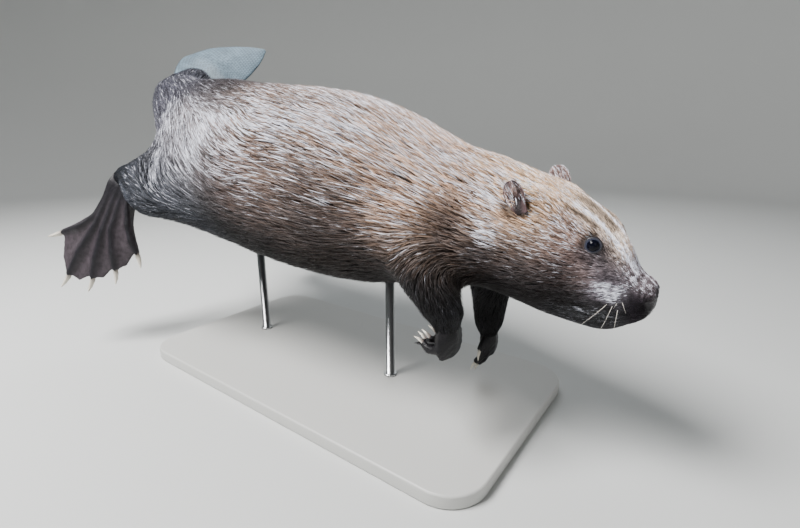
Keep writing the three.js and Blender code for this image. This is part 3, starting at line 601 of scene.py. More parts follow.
def paint(mesh, colours, name="Coat"):
    """Stores a colour for each point of a mesh."""
    rgba = np.concatenate([colours, np.ones((len(colours), 1))], 1)
    layer = mesh.color_attributes.new(name, "FLOAT_COLOR", "POINT")
    layer.data.foreach_set("color", rgba.astype(np.float32).ravel())


def store(mesh, numbers, name):
    """Stores a number for each point of a mesh."""
    mesh.attributes.new(name, "FLOAT", "POINT").data.foreach_set("value", numbers.astype(np.float32))


markings, silvered, _, _, _ = coat_at(skin_points)
silvered = SILVER_TINT * np.clip(silvered, 0, 1)[:, None]
markings = markings * (1 - silvered) + linear(FUR["silver"]) * silvered
local = in_head(skin_points)
lips = np.exp(-0.5 * (distance_on_both_sides(local, LIP_LINE) / 2.2) ** 2)
bare = np.maximum(nose_pad(local), 0.9 * lips)
UNDERFUR = 0.42  # how light the skin under the coat is, against the coat
paint(surface, markings * (UNDERFUR * (1 - bare) + bare)[:, None] * (1 - 0.55 * bare)[:, None])
store(surface, bare, "Bare")


def add(nodes, kind, **inputs):
    """A new node with some of its inputs set."""
    node = nodes.new(kind)
    for name, value in inputs.items():
        node.inputs[name.replace("_", " ")].default_value = value
    return node


def attribute(nodes, name):
    """A node that reads one of the mesh's own attributes."""
    node = nodes.new("ShaderNodeAttribute")
    node.attribute_name = name
    return node


def textured(nodes, links, kind, **inputs):
    """A texture node laid out in the object's own coordinates."""
    where = nodes.new("ShaderNodeTexCoord")
    texture = add(nodes, kind, **inputs)
    links.new(where.outputs["Object"], texture.inputs["Vector"])
    return texture


def ranged(nodes, links, value, low, high, to_low, to_high):
    """A value carried from one range to another, and held at its ends."""
    node = nodes.new("ShaderNodeMapRange")
    for name, number in {"From Min": low, "From Max": high, "To Min": to_low, "To Max": to_high}.items():
        node.inputs[name].default_value = number
    links.new(value, node.inputs["Value"])
    return node.outputs["Result"]


def scaled(nodes, links, colour, factor):
    """A colour times a factor."""
    node = nodes.new("ShaderNodeVectorMath")
    node.operation = "SCALE"
    links.new(colour, node.inputs[0])
    links.new(factor, node.inputs["Scale"])
    return node.outputs["Vector"]


def bumped(nodes, links, height, strength, distance, shader, before=None):
    """Links a height into the shader's normal, over an earlier bump if there is one."""
    bump = add(nodes, "ShaderNodeBump", Strength=strength, Distance=distance)
    links.new(height, bump.inputs["Height"])
    if before:
        links.new(before.outputs["Normal"], bump.inputs["Normal"])
    links.new(bump.outputs["Normal"], shader.inputs["Normal"])
    return bump


def finished(mesh, material):
    """Gives a mesh one material and rounded shading."""
    mesh.materials.clear()
    mesh.materials.append(material)
    mesh.polygons.foreach_set("use_smooth", np.full(len(mesh.polygons), True))


FURRED_ROUGHNESS, WET_ROUGHNESS = 0.75, 0.32
skin_finish, nodes, links, shader = material_of("furred_skin", 0.6)
links.new(attribute(nodes, "Coat").outputs["Color"], shader.inputs["Base Color"])
bareness = attribute(nodes, "Bare").outputs["Fac"]
links.new(ranged(nodes, links, bareness, 0, 1, FURRED_ROUGHNESS, WET_ROUGHNESS), shader.inputs["Roughness"])
grain = textured(nodes, links, "ShaderNodeTexVoronoi", Scale=900.0)
bumped(nodes, links, grain.outputs["Distance"], 0.5, 0.0006, shader)
finished(surface, skin_finish)
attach(skin, "root")
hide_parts(*FLESH)

# ---------------------------------------------------------------- coat
# Wet guard hair sticks together in fine pointed tufts that lie back along the body, over dark
# underfur. Each tuft is a slim closed blade of solid mesh, bent along the skin and down its lie.

# How the coat lies: place, reach, and the direction from root to tip.
HEAD_LIE = [
    ((120, 0, -15), 16, (-1, 0, 0.35)),
    ((85, 0, 5), 20, (-1, 0, 0.3)),
    ((40, 0, 22), 30, (-1, 0, 0.1)),
    ((-20, 0, 28), 30, (-1, 0, 0)),
    ((84, 30, 4), 9, (-1, 0.1, 0.5)),
    ((60, 32, 12), 9, (-1, 0.1, 0.35)),
    ((84, 32, -20), 12, (-1, 0.15, -0.35)),
    ((58, 42, -14), 12, (-1, 0.1, -0.1)),
    ((105, 28, -34), 10, (-0.8, 0.2, -0.55)),
    ((112, 24, -52), 10, (-0.8, 0.2, -0.6)),
    ((60, 45, -40), 22, (-1, 0.1, -0.22)),
    ((20, 56, -30), 26, (-1, 0.1, -0.12)),
    ((-20, 60, -20), 30, (-1, 0.05, -0.05)),
    ((50, 40, -75), 24, (-1, 0.1, -0.1)),
    ((0, 25, -100), 30, (-1, 0, 0.1)),
    ((90, 12, -85), 16, (-1, 0, -0.3)),
]
BODY_LIE = [
    ((190, 0, 325), 50, (-1, 0, 0.12)),
    ((200, 80, 285), 34, (-1, 0, 0.25)),
    ((206, 100, 232), 18, (-0.9, 0, 0.1)),
    ((160, 88, 300), 40, (-1, 0, 0.3)),
    ((150, 98, 240), 30, (-1, 0, 0.15)),
    ((150, 95, 205), 30, (-1, 0, 0)),
    ((150, 40, 160), 50, (-1, 0, 0)),
    ((70, 0, 365), 60, (-1, 0, 0.12)),
    ((80, 75, 345), 30, (-1, 0, 0.2)),
    ((70, 110, 290), 36, (-1, 0, 0.24)),
    ((60, 118, 240), 30, (-1, 0, 0.28)),
    ((60, 90, 170), 50, (-1, 0, 0.05)),
    ((-30, 0, 395), 60, (-1, 0, 0.04)),
    ((0, 106, 337), 30, (-1, 0, 0.08)),
    ((-10, 70, 375), 34, (-1, 0, 0.08)),
    ((20, 127, 240), 20, (-1, 0, 0.42)),
    ((-25, 130, 280), 30, (-1, 0, 0.1)),
    ((-40, 128, 235), 28, (-1, 0, 0.22)),
    ((-66, 110, 342), 19, (-0.7, 0, 0.72)),
    ((-100, 70, 385), 34, (-1, 0, 0.1)),
    ((-108, 118, 330), 19, (-0.72, 0, 0.7)),
    ((-70, 130, 310), 18, (-0.95, 0, 0.2)),
    ((-125, 127, 314), 19, (-0.62, 0, 0.78)),
    ((-106, 132, 288), 20, (-0.72, 0, 0.7)),
    ((-90, 132, 262), 26, (-0.9, 0, 0.42)),
    ((-160, 125, 325), 22, (-0.35, 0, 0.95)),
    ((-160, 133, 285), 24, (-0.6, 0, 0.8)),
    ((-165, 132, 250), 26, (-0.8, 0, 0.55)),
    ((-120, 110, 200), 45, (-1, 0, 0.15)),
    ((-120, 0, 140), 80, (-1, 0, 0.1)),
    ((-205, 130, 230), 32, (-0.95, 0, 0.3)),
    ((-140, 0, 400), 60, (-1, 0, 0)),
    ((-180, 60, 392), 30, (-0.9, 0, 0.25)),
    ((-222, 130, 285), 22, (0.25, 0, 0.95)),
    ((-225, 85, 366), 30, (-0.4, -0.1, 0.85)),
    ((-215, 0, 412), 50, (-1, 0, 0.12)),
    ((-270, 138, 262), 26, (-0.9, 0, 0.4)),
    ((-285, 70, 380), 36, (-0.5, -0.2, 0.8)),
    ((-295, 0, 425), 40, (-0.95, 0, 0.3)),
    ((-290, 20, 250), 50, (-0.8, 0, 0.6)),
    ((-325, 118, 274), 20, (-1, 0, -0.1)),
    ((-350, 110, 262), 14, (-0.35, 0.1, -0.9)),
]
# The tail, which is turned to one side, and the forelegs, which differ.
SINGLE_LIE = [
    ((-352, 0, 396), 30, (-0.65, 0.25, 0.7)),
    ((-382, 10, 388), 26, (-0.3, 0.45, 0.8)),
    ((-398, 35, 402), 26, (-0.3, 0.75, 0.6)),
    ((-424, 75, 430), 24, (-0.2, 0.85, 0.5)),
    ((188, -94, 215), 16, (-0.1, -0.1, -1)),
    ((200, -94, 188), 14, (0.6, 0, -0.75)),
    ((222, -92, 165), 14, (0.3, 0, -1)),
    ((192, 64, 165), 26, (0, 0.1, -1)),
    ((197, 62, 115), 26, (0.05, 0, -1)),
]


def lie_on_both_sides(rows):
    """Rows of the lie, and their mirror images where they are off the middle."""
    across = np.array([1, -1, 1])
    return rows + [(tuple(across * p), reach, tuple(across * d)) for p, reach, d in rows if p[1]]


lie_rows = [
    (at_head(place), reach * MM, HEAD_AXES @ direction)
    for place, reach, direction in lie_on_both_sides(HEAD_LIE)
] + [
    (MM * np.array(place, float), reach * MM, np.array(direction, float))
    for place, reach, direction in lie_on_both_sides(BODY_LIE) + SINGLE_LIE
]


def along_skin(vectors, normals):
    """Vectors laid down on the surface."""
    return unit(vectors - (vectors * normals).sum(-1, keepdims=True) * normals)


def lie_at(points, normals):
    """The coat's lie at points: the mean of the rows' directions, each weighed by its closeness and by
    how small its reach is, laid down on the skin."""
    total = np.zeros_like(points)
    for place, reach, direction in lie_rows:
        weight = near(points, place, reach) * (30 * MM / reach) ** 2 + 1e-12
        total += weight[:, None] * direction / np.linalg.norm(direction)
    return along_skin(total, normals)


class Waves:
    """A smooth random pattern in space: the sum of plane waves of one wavelength in many directions."""

    def __init__(self, wavelength, seed, count=28):
        rng = np.random.default_rng(seed)
        self.steps = unit(rng.normal(size=(count, 3))) * 2 * math.pi / wavelength
        self.steps *= rng.uniform(0.7, 1.4, (count, 1))
        self.phases = rng.uniform(0, 2 * math.pi, count)

    def value(self, points):
        """About -2 to 2."""
        return np.cos(points @ self.steps.T + self.phases).sum(1) * math.sqrt(2 / len(self.phases))

    def slope(self, points):
        """The direction in which the pattern grows, about 1 long."""
        inner = -np.sin(points @ self.steps.T + self.phases) * math.sqrt(2 / len(self.phases))
        return inner @ self.steps / np.linalg.norm(self.steps, axis=1).mean()


class Ground:
    """Finds the surface near any point: each small cell of space knows a point of the surface near it."""

    REACH = 6  # cells away from the surface within which it is known

    def __init__(self, points, normals, cell=4 * MM):
        self.points, self.normals, self.cell = points, normals, cell
        self.low = points.min(0) - (self.REACH + 2) * cell
        size = ((points.max(0) - self.low) / cell).astype(int) + self.REACH + 3
        self.known = np.full(size, -1, np.int32)
        self.known[tuple(self.cells(points).T)] = np.arange(len(points))
        for _ in range(self.REACH):
            for axis in range(3):
                for step in (1, -1):
                    moved = np.roll(self.known, step, axis)
                    self.known = np.where(self.known < 0, moved, self.known)

    def cells(self, points):
        """The numbers of the cells that hold the points."""
        return ((points - self.low) / self.cell).astype(int)

    def under(self, points):
        """The index of a surface point near each point."""
        cells = np.clip(self.cells(points), 0, np.array(self.known.shape) - 1)
        return np.maximum(self.known[tuple(cells.T)], 0)

    def lifted(self, points, height):
        """Points moved along the surface's normal to a height over it, and the normals there."""
        found = self.under(points)
        normals = self.normals[found]
        now = ((points - self.points[found]) * normals).sum(1)
        return points + (height - now)[:, None] * normals, normals


def corners_of(mesh):
    """A mesh's faces as triangles of point numbers."""
    mesh.calc_loop_triangles()
    found = np.empty(len(mesh.loop_triangles) * 3, np.int32)
    mesh.loop_triangles.foreach_get("vertices", found)
    return found.reshape(-1, 3)


def scattered(points, normals, triangles, per_area, rng):
    """Places strewn evenly over triangles, so many for each square metre of each, with their normals."""
    a, b, c = points[triangles].transpose(1, 0, 2)
    area = 0.5 * np.linalg.norm(np.cross(b - a, c - a), axis=1)
    sums = np.cumsum(area * per_area)
    count = int(sums[-1])
    chosen = np.searchsorted(sums, (np.arange(count) + rng.random(count)) * sums[-1] / count)
    chosen = np.minimum(chosen, len(triangles) - 1)
    u, v = rng.random((2, count, 1))
    u, v = np.where(u + v > 1, 1 - u, u), np.where(u + v > 1, 1 - v, v)
    shares = np.stack([1 - u - v, u, v])
    corners = triangles[chosen].T
    return (shares * points[corners]).sum(0), unit((shares * normals[corners]).sum(0))


# How a tuft goes from root to tip: where its sections are, how high they are in the coat's depth, and
# how wide they are.
LONG_TUFT = {"at": (0, 0.34, 0.7, 1), "height": (-0.08, 0.5, 0.84, 1.0), "width": (0.8, 1.0, 0.66)}
SHORT_TUFT = {"at": (0, 0.5, 1), "height": (-0.1, 0.62, 1.0), "width": (0.9, 0.85)}
RIDGE = 0.3  # height of a tuft's ridge in its widths, for tufts up to the next width
RIDGED_WIDTH = 1.7 * MM
STRANDS = 2.4  # strands across a millimetre of tuft
BAKE_PATCH = 0.003


def blade_faces(sections):
    """The triangles of a closed three-sided blade with so many sections and a point at its tip."""
    faces = [(0, 2, 1)]
    for k in range(sections - 1):
        for i in range(3):
            a, b = 3 * k + i, 3 * k + (i + 1) % 3
            faces += [(a, b, b + 3), (a, b + 3, a + 3)]
    last = 3 * (sections - 1)
    return np.array(faces + [(last + i, last + (i + 1) % 3, last + 3) for i in range(3)])


def blades(name, path, sides, normals, widths, shape, colours):
    """A mesh of blades that follow their paths, with a triangular section that is flat on the skin.
    Colours are one for each section and tip. Returns the mesh and the number of points in a blade."""
    sections = len(shape["width"])
    ridge = RIDGE * np.minimum(widths, RIDGED_WIDTH)
    points = []
    for k in range(sections):
        half = (0.5 * shape["width"][k] * widths)[:, None]
        top = path[k] + (shape["width"][k] * ridge)[:, None] * normals[k]
        points += [path[k] - half * sides[k], top, path[k] + half * sides[k]]
    points = np.stack(points + [path[sections]], 1)
    each = points.shape[1]
    starts = each * np.arange(len(points))[:, None, None]
    faces = (blade_faces(sections) + starts).reshape(-1, 3)
    mesh = mesh_of(name, points.reshape(-1, 3), faces)
    steps = np.repeat(np.arange(sections), 3).tolist() + [sections]
    paint(mesh, colours[:, steps].reshape(-1, 3))
    return mesh, each


def strand_maps(mesh, each, shape, widths, roots_uv, rng):
    """Two UV maps: Strand runs across each blade in strands and along it, from a place of its own, and
    OFBake puts each blade in a small patch at its root's place on the skin's unwrap."""
    sections = len(shape["width"])
    across = np.array([0, 0.5, 1] * sections + [0.5])
    along = np.array([t for t in shape["at"][:-1] for _ in range(3)] + [1.0])
    corners = np.empty(len(mesh.loops), np.int32)
    mesh.loops.foreach_get("vertex_index", corners)
    own = np.stack([across, along], 1)
    shift = rng.integers(0, 900, (len(roots_uv), 1, 1)) * np.array([1.0, 0.0])
    strand = own * np.stack([STRANDS * widths / MM, np.ones(len(widths))], 1)[:, None]
    maps = {"Strand": strand + shift, "OFBake": roots_uv[:, None] + BAKE_PATCH * (own - 0.5)}
    for name, uv in maps.items():
        layer = mesh.uv_layers.new(name=name)
        layer.data.foreach_set("uv", uv.reshape(-1, 2)[corners].astype(np.float32).ravel())


def unrolled(points, line):
    """The skin unwrapped round a straight line through it: the turn round the line, and the way along."""
    start, end = np.array(line, float)
    axis = unit(end - start)
    side = unit(np.cross(axis, (0.1, 0.2, 1)))
    above = np.cross(side, axis)
    apart = points - start
    turn = np.arctan2(apart @ side, -(apart @ above)) / (2 * math.pi) + 0.5
    way = apart @ axis
    way = (way - way.min()) / max(np.ptp(way), 1e-6)
    return 0.01 + 0.98 * np.stack([turn, way], 1)


ground = Ground(skin_points, skin_normals)
clumps = Waves(11 * MM, seed=3)
fine_clumps = Waves(5 * MM, seed=4)
streaks = Waves(7 * MM, seed=5)
patches = Waves(45 * MM, seed=6)


def streaked(points, lie, half_length=26 * MM):
    """A pattern of streaks along the lie: the waves' mean over a stretch of it, about -2 to 2."""
    steps = np.linspace(-half_length, half_length, 9)
    return sum(streaks.value(points + s * lie) for s in steps) / 9 * 2.4


def coat_piece(name, ground, triangles, shape, coverage, line, seed, grows=None):
    """Grows one piece of coat on some of a surface's triangles. The tufts walk down the lie from their
    roots, keep to their height over the surface, and lean together into clumps as they go. `grows` are
    the functions that give the coat, its lie and its cover, which are the body's unless given."""
    coat, lies, cover = grows or (coat_at, lie_at, coat_cover)
    rng = np.random.default_rng(seed)
    middles = ground.points[triangles].mean(1)
    _, _, depth, length, width = coat(middles)
    per_area = coverage / (0.6 * length * width) * cover(middles)
    roots, normals = scattered(ground.points, ground.normals, triangles, per_area, rng)
    colour, silver, depth, length, width = coat(roots)
    n = len(roots)
    length = length * rng.uniform(0.75, 1.35, n)
    broad = rng.random(n) ** 2.5
    width = width * (0.38 + 1.3 * broad)
    tip_height = rng.uniform(0.7, 1.05, n) - 0.4 * broad
    stray = rng.normal(0, 0.09, (n, 1))
    clump = 2.6 * clumps.slope(roots) + 1.1 * fine_clumps.slope(roots)
    path, sides, ups = [], [], []
    at, last = roots, 0.0
    for share, height in zip(shape["at"], shape["height"]):
        lie = lies(at, normals)
        lie = along_skin(lie + stray * np.cross(normals, lie), normals)
        at = at + ((share - last) * length)[:, None] * lie
        at, normals = ground.lifted(at, height * tip_height * depth)
        side = unit(np.cross(lie, normals))
        lean = (clump * side).sum(1) * (depth / (8 * MM)) * MM * share**1.3
        path.append(at + lean[:, None] * side)
        sides.append(side)
        ups.append(normals)
        last = share
    streak, chance = streaked(roots, unit(lie)), rng.normal(size=n)
    light = np.clip(1 + 0.3 * streak + 0.3 * chance + 0.12 * patches.value(roots), 0.3, 2.0)[:, None]
    silver = np.clip(silver * (1 + 0.95 * streak - 0.7 * rng.normal(size=n)) - 0.03, 0, 1)
    tint = SILVER_TINT * silver[:, None]
    tuft = colour * light * (1 - tint) + linear(FUR["silver"]) * tint
    fade = np.interp(shape["at"], (0, 0.4, 1), (0.5, 0.95, 1.15))
    colours = np.clip(tuft[:, None, :] * fade[None, :, None], 0, 0.9)
    mesh, each = blades(name, path, sides, ups, width, shape, colours)
    strand_maps(mesh, each, shape, width, unrolled(roots, line), rng)
    store(mesh, np.repeat(silver, each), "Silver")
    mesh.materials.append(coat_finish)
    piece = linked(name, mesh)
    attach(piece, "root")
    return piece


def coat_cover(points):
    """How much of the coat grows at points: none on the nose, the lips, the eyes and the ears' hollows."""
    local = in_head(points)
    lips = np.exp(-0.5 * (distance_on_both_sides(local, LIP_LINE) / 1.6) ** 4)
    cover = 1 - np.maximum(nose_pad(local), lips)
    cover *= rise(distance_on_both_sides(local, EAR_HOLLOW_LINE), 6, 9)
    for side in EYES:
        from_axis, from_middle = from_eye(points, side)
        cover *= 1 - (from_axis < 7.6 * MM) * (from_middle < 16 * MM)
    return np.clip(cover, 0, 1)


coat_finish, nodes, links, shader = material_of("wet_guard_hair", 0.45, specular=0.25)
strand_place = nodes.new("ShaderNodeUVMap")
strand_place.uv_map = "Strand"


def strand_noise(place, scale):
    """A noise drawn out along the tuft."""
    stretch = add(nodes, "ShaderNodeMapping", Location=place, Scale=scale)
    links.new(strand_place.outputs["UV"], stretch.inputs["Vector"])
    noise = add(nodes, "ShaderNodeTexNoise", Scale=1.0, Detail=2.0)
    links.new(stretch.outputs["Vector"], noise.inputs["Vector"])
    return noise.outputs["Fac"]


# A strand turns silver where its noise, with this much of the tuft's silvering added, passes the first
# of these values, and is wholly silver from the second.
SILVER_REACH = 0.48
SILVER_FROM, SILVER_TO = 0.76, 0.86

strands = strand_noise((0, 0, 0), (1.0, 0.9, 1.0))
light_and_dark = ranged(nodes, links, strands, 0.3, 0.7, 0.5, 1.5)
lit = scaled(nodes, links, attribute(nodes, "Coat").outputs["Color"], light_and_dark)
often = nodes.new("ShaderNodeMath")
often.operation = "MULTIPLY_ADD"
often.inputs[1].default_value = SILVER_REACH
links.new(attribute(nodes, "Silver").outputs["Fac"], often.inputs[0])
links.new(strand_noise((31, 7, 0), (0.8, 0.7, 1.0)), often.inputs[2])
mixed = nodes.new("ShaderNodeMix")
mixed.data_type = "RGBA"
mixed.inputs["B"].default_value = (*linear(FUR["silver"]), 1)
links.new(ranged(nodes, links, often.outputs[0], SILVER_FROM, SILVER_TO, 0, 0.95), mixed.inputs["Factor"])
links.new(lit, mixed.inputs["A"])
links.new(mixed.outputs["Result"], shader.inputs["Base Color"])
bumped(nodes, links, strands, 0.6, 0.0006, shader)

skin_triangles = corners_of(surface)
middles = skin_points[skin_triangles].mean(1)
in_head_x = in_head(middles)[:, 0]
x, y, z = middles.T
is_hind_leg = (x < -0.300) & (np.abs(y) > 0.085) & (z < 0.33)
is_foreleg = ((y < -0.06) & (z > 0.12)) | ((y > 0.03) & (z < 0.18))
is_foreleg &= (x > 0.150) & (z < 0.205) & (in_head_x < -30)
is_leg = is_hind_leg | is_foreleg
FACE_FROM, HEAD_FROM = 48, -32  # along the head's own frame
# Lengths of the coat from front to back: where each ends, its tufts and how many lie over each place.
LENGTHS = {
    "face": (None, SHORT_TUFT, 4.7),
    "head": (None, SHORT_TUFT, 5.6),
    "neck": (0.150, LONG_TUFT, 5.5),
    "chest": (0.020, LONG_TUFT, 5.5),
    "loin": (-0.130, LONG_TUFT, 5.5),
    "haunches": (-0.275, LONG_TUFT, 5.5),
    "rump": (-0.370, LONG_TUFT, 5.0),
    "tail_root": (-1.0, LONG_TUFT, 4.6),
}
SPINE = [(0.25, 0, 0.25), (-0.40, 0, 0.33)]
SNOUT = [tuple(at_head((-40, 0, -35))), tuple(at_head((140, 0, -35)))]
before = 1.0
seed = 20
for region, (start, shape, coverage) in LENGTHS.items():
    if region == "face":
        inside, line = in_head_x > FACE_FROM, SNOUT
    elif region == "head":
        inside, line = (in_head_x > HEAD_FROM) & (in_head_x <= FACE_FROM), SNOUT
    else:
        inside, line = (in_head_x <= HEAD_FROM) & (x > start) & (x <= before) & ~is_leg, SPINE
        before = start
    for side, sign in (("right", -1), ("left", 1)):
        seed += 1
        chosen = skin_triangles[inside & (y * sign > 0)]
        coat_piece(f"coat_{region}_{side}", ground, chosen, shape, coverage, line, seed)
for side, sign in (("right", -1), ("left", 1)):
    for region, inside in (("hind_leg", is_hind_leg), ("foreleg", is_foreleg)):
        seed += 1
        chosen = skin_triangles[inside & (y * sign > 0)]
        foot = middles[inside & (y * sign > 0)].mean(0)
        line = [foot + (0.01, 0, 0.05), foot - (0.01, 0, 0.05)]
        coat_piece(f"coat_{region}_{side}", ground, chosen, SHORT_TUFT, 4.5, line, seed)

# ---------------------------------------------------------------- eyes
# Each eye is a dark ball with a bulging clear front, set deep between bare lids that lie close on it.


def facing(forward, up=(0, 0, 1)):
    """Axes as columns: X along forward, Z as near to up as can be."""
    x = unit(np.array(forward, float))
    y = unit(np.cross(up, x))
    return np.stack([x, y, np.cross(x, y)], 1)


def turned(name, profile, place, axes, sides=48):
    """A closed surface turned round the X axis of a frame, from a profile of (along, radius) whose ends
    have a tiny radius."""
    angles = np.linspace(0, 2 * math.pi, sides, endpoint=False)
    along, radius = np.array(profile, float).T
    ring = np.stack([np.zeros(sides), np.cos(angles), np.sin(angles)], 1)
    points = along[:, None, None] * (1, 0, 0) + radius[:, None, None] * ring
    points = np.concatenate([points.reshape(-1, 3), [[along[0], 0, 0], [along[-1], 0, 0]]])
    mesh = mesh_of(name, place + points @ axes.T, grid_faces(len(profile), sides))
    with reshaped([mesh], mesh) as shape:
        for row, pole in ((0, -2), (len(profile) - 1, -1)):
            for i in range(sides):
                corners = [shape.verts[k] for k in (pole, row * sides + (i + 1) % sides, row * sides + i)]
                shape.faces.new(corners if row == 0 else corners[::-1]).smooth = True
        bmesh.ops.recalc_face_normals(shape, faces=shape.faces)
    return mesh


CORNEA_BULGE = 0.6 * MM
LID_OPENING = (57, 53)  # degrees from the gaze: to the corners, and to the upper and lower lid
# Rows of the lids outwards from the opening: degrees beyond it, and height over the eyeball.
LID_ROWS = [(0, -0.5), (0, 0.15), (2, 0.7), (7, 1.15), (14, 1.3)]
LID_ROWS += [(22, 0.9), (31, 0.1), (40, -1.2), (46, -3.0)]
LID_BACK = [(44, -4.2), (24, -2.2), (6, -1.4)]  # the way back to the opening, inside the head
LID_TILT = 12  # degrees by which the eye's corners slant
LID_SIDES = 64
# The blue-grey of the iris ring and of the lid's rim is a painted reflection on wet skin over their own dark
# tone; the lid beyond the rim is dark skin with painted shade round the eye.
PUPIL_TONE, IRIS_AND_REFLECTION_TONE = (7, 8, 18), (50, 54, 68)
LID_RIM_REFLECTION_TONE, LID_SHADE_TONE = (54, 54, 64), (28, 24, 28)

eye_finish, nodes, links, shader = material_of("wet_eye", 0.14, specular=0.12)
links.new(attribute(nodes, "Coat").outputs["Color"], shader.inputs["Base Color"])

lid_finish, nodes, links, shader = material_of("eyelid", 0.36)
links.new(attribute(nodes, "Coat").outputs["Color"], shader.inputs["Base Color"])
creases = textured(nodes, links, "ShaderNodeTexNoise", Scale=900.0, Detail=3.0)
bumped(nodes, links, creases.outputs["Fac"], 0.4, 0.0005, shader)

for side, centre in EYES.items():
    gaze = HEAD_AXES @ GAZE[side]
    axes = facing(gaze, HEAD_AXES @ (-math.tan(math.radians(LID_TILT)), 0, 1))
    angles = np.radians(np.linspace(0.4, 179.6, 60))
    radius = EYE_RADIUS + CORNEA_BULGE * np.exp(-((np.degrees(angles) / 30) ** 4))
    profile = np.stack([radius * np.cos(angles), radius * np.sin(angles)], 1)
    ball = turned(f"eyeball_{side}", profile, centre, axes)
    from_gaze = np.degrees(np.arccos(np.clip(unit(places(ball) - centre) @ axes[:, 0], -1, 1)))
    # A blue-grey ring round the dark middle, part iris and part painted reflection.
    ring = (rise(from_gaze, 45, 50) * (1 - 0.5 * rise(from_gaze, 58, 64)))[:, None]
    paint(ball, linear(PUPIL_TONE) * (1 - ring) + linear(IRIS_AND_REFLECTION_TONE) * ring)
    ball.materials.append(eye_finish)
    eye = linked(f"eyeball_{side}", ball)
    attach(eye, "root")
    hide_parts(f"eye_{side}")

    round_eye = np.linspace(0, 2 * math.pi, LID_SIDES, endpoint=False)
    opening = np.hypot(LID_OPENING[0] * np.cos(round_eye), LID_OPENING[1] * np.sin(round_eye))
    rows = []
    for widening, lift in LID_ROWS + LID_BACK:
        angle = np.radians(opening + widening)
        creased = 1 + 0.1 * np.cos(5 * round_eye) * (widening > 5)
        distance = EYE_RADIUS + lift * MM * creased
        upwards, sideways = np.sin(angle) * np.sin(round_eye), np.sin(angle) * np.cos(round_eye)
        ring = np.stack([np.cos(angle), sideways, upwards], 1)
        rows.append(centre + (distance[:, None] * ring) @ axes.T)
    lid_faces = grid_faces(len(rows) + 1, LID_SIDES) % (len(rows) * LID_SIDES)
    lid_mesh = mesh_of(f"eyelids_{side}", np.concatenate(rows), lid_faces)
    how_far = np.repeat([widening for widening, _ in LID_ROWS + LID_BACK], LID_SIDES)
    # A pale rim with a painted reflection, going over to the lid's dark tone with painted shade.
    share = rise(how_far, 1, 8)[:, None]
    paint(lid_mesh, linear(LID_RIM_REFLECTION_TONE) * (1 - share) + linear(LID_SHADE_TONE) * share)
    lid_mesh.materials.append(lid_finish)
    lids = linked(f"eyelids_{side}", lid_mesh)
    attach(lids, "root")

# ---------------------------------------------------------------- ears
# Small round leaves, cupped on the outer side, with an opening low down that is painted dark as shade and a
# painted shadow along a crease, and thinly furred.

# Where the ear stands, the way its edge faces and the way it points, and its rows: height, half width.
EAR_AT, EAR_FORWARD, EAR_UPWARD = (2, 47, 6), (0.69, 0.1, 0.72), (-0.73, 0, 0.69)
EAR_ROWS = [(-8, 7), (0, 8.5), (6, 10), (12, 10.5), (17.5, 9), (21.5, 6.5), (24, 3)]
EAR_HOLLOW = 5
EAR_TONE, EAR_OPENING_SHADE_TONE, EAR_HAIR_TONE = (104, 82, 84), (16, 11, 14), (150, 124, 116)


def through(rows, count):
    """Rows of numbers as a smooth curve through them (Catmull-Rom), at so many even steps."""
    rows = np.array(rows, float)
    rows = np.vstack([2 * rows[0] - rows[1], rows, 2 * rows[-1] - rows[-2]])
    t = np.linspace(0, len(rows) - 3 - 1e-9, count)
    k, u = t.astype(int), (t % 1)[:, None]
    a, b, c, d = rows[k], rows[k + 1], rows[k + 2], rows[k + 3]
    return 0.5 * (2 * b + (c - a) * u + (2 * a - 5 * b + 4 * c - d) * u**2 + (3 * b - a - 3 * c + d) * u**3)


def capped(mesh, rings, sides):
    """Closes the first and last ring of a loft with a face each, and turns its faces outwards."""
    with reshaped([mesh], mesh) as shape:
        for row in (0, rings - 1):
            shape.faces.new([shape.verts[row * sides + i] for i in range(sides)])
        bmesh.ops.recalc_face_normals(shape, faces=shape.faces)
    return mesh


bare_finish, nodes, links, shader = material_of("bare_skin", 0.5, specular=0.3)
mottle = textured(nodes, links, "ShaderNodeTexNoise", Scale=160.0, Detail=3.0)
mottled = ranged(nodes, links, mottle.outputs["Fac"], 0.3, 0.7, 0.65, 1.3)
bare_colour = attribute(nodes, "Coat").outputs["Color"]
links.new(scaled(nodes, links, bare_colour, mottled), shader.inputs["Base Color"])
pores = textured(nodes, links, "ShaderNodeTexVoronoi", Scale=700.0)
first_bump = bumped(nodes, links, pores.outputs["Distance"], 0.5, 0.0006, shader)
wrinkles = textured(nodes, links, "ShaderNodeTexNoise", Scale=260.0, Detail=4.0)
bumped(nodes, links, wrinkles.outputs["Fac"], 0.5, 0.0012, shader, first_bump)

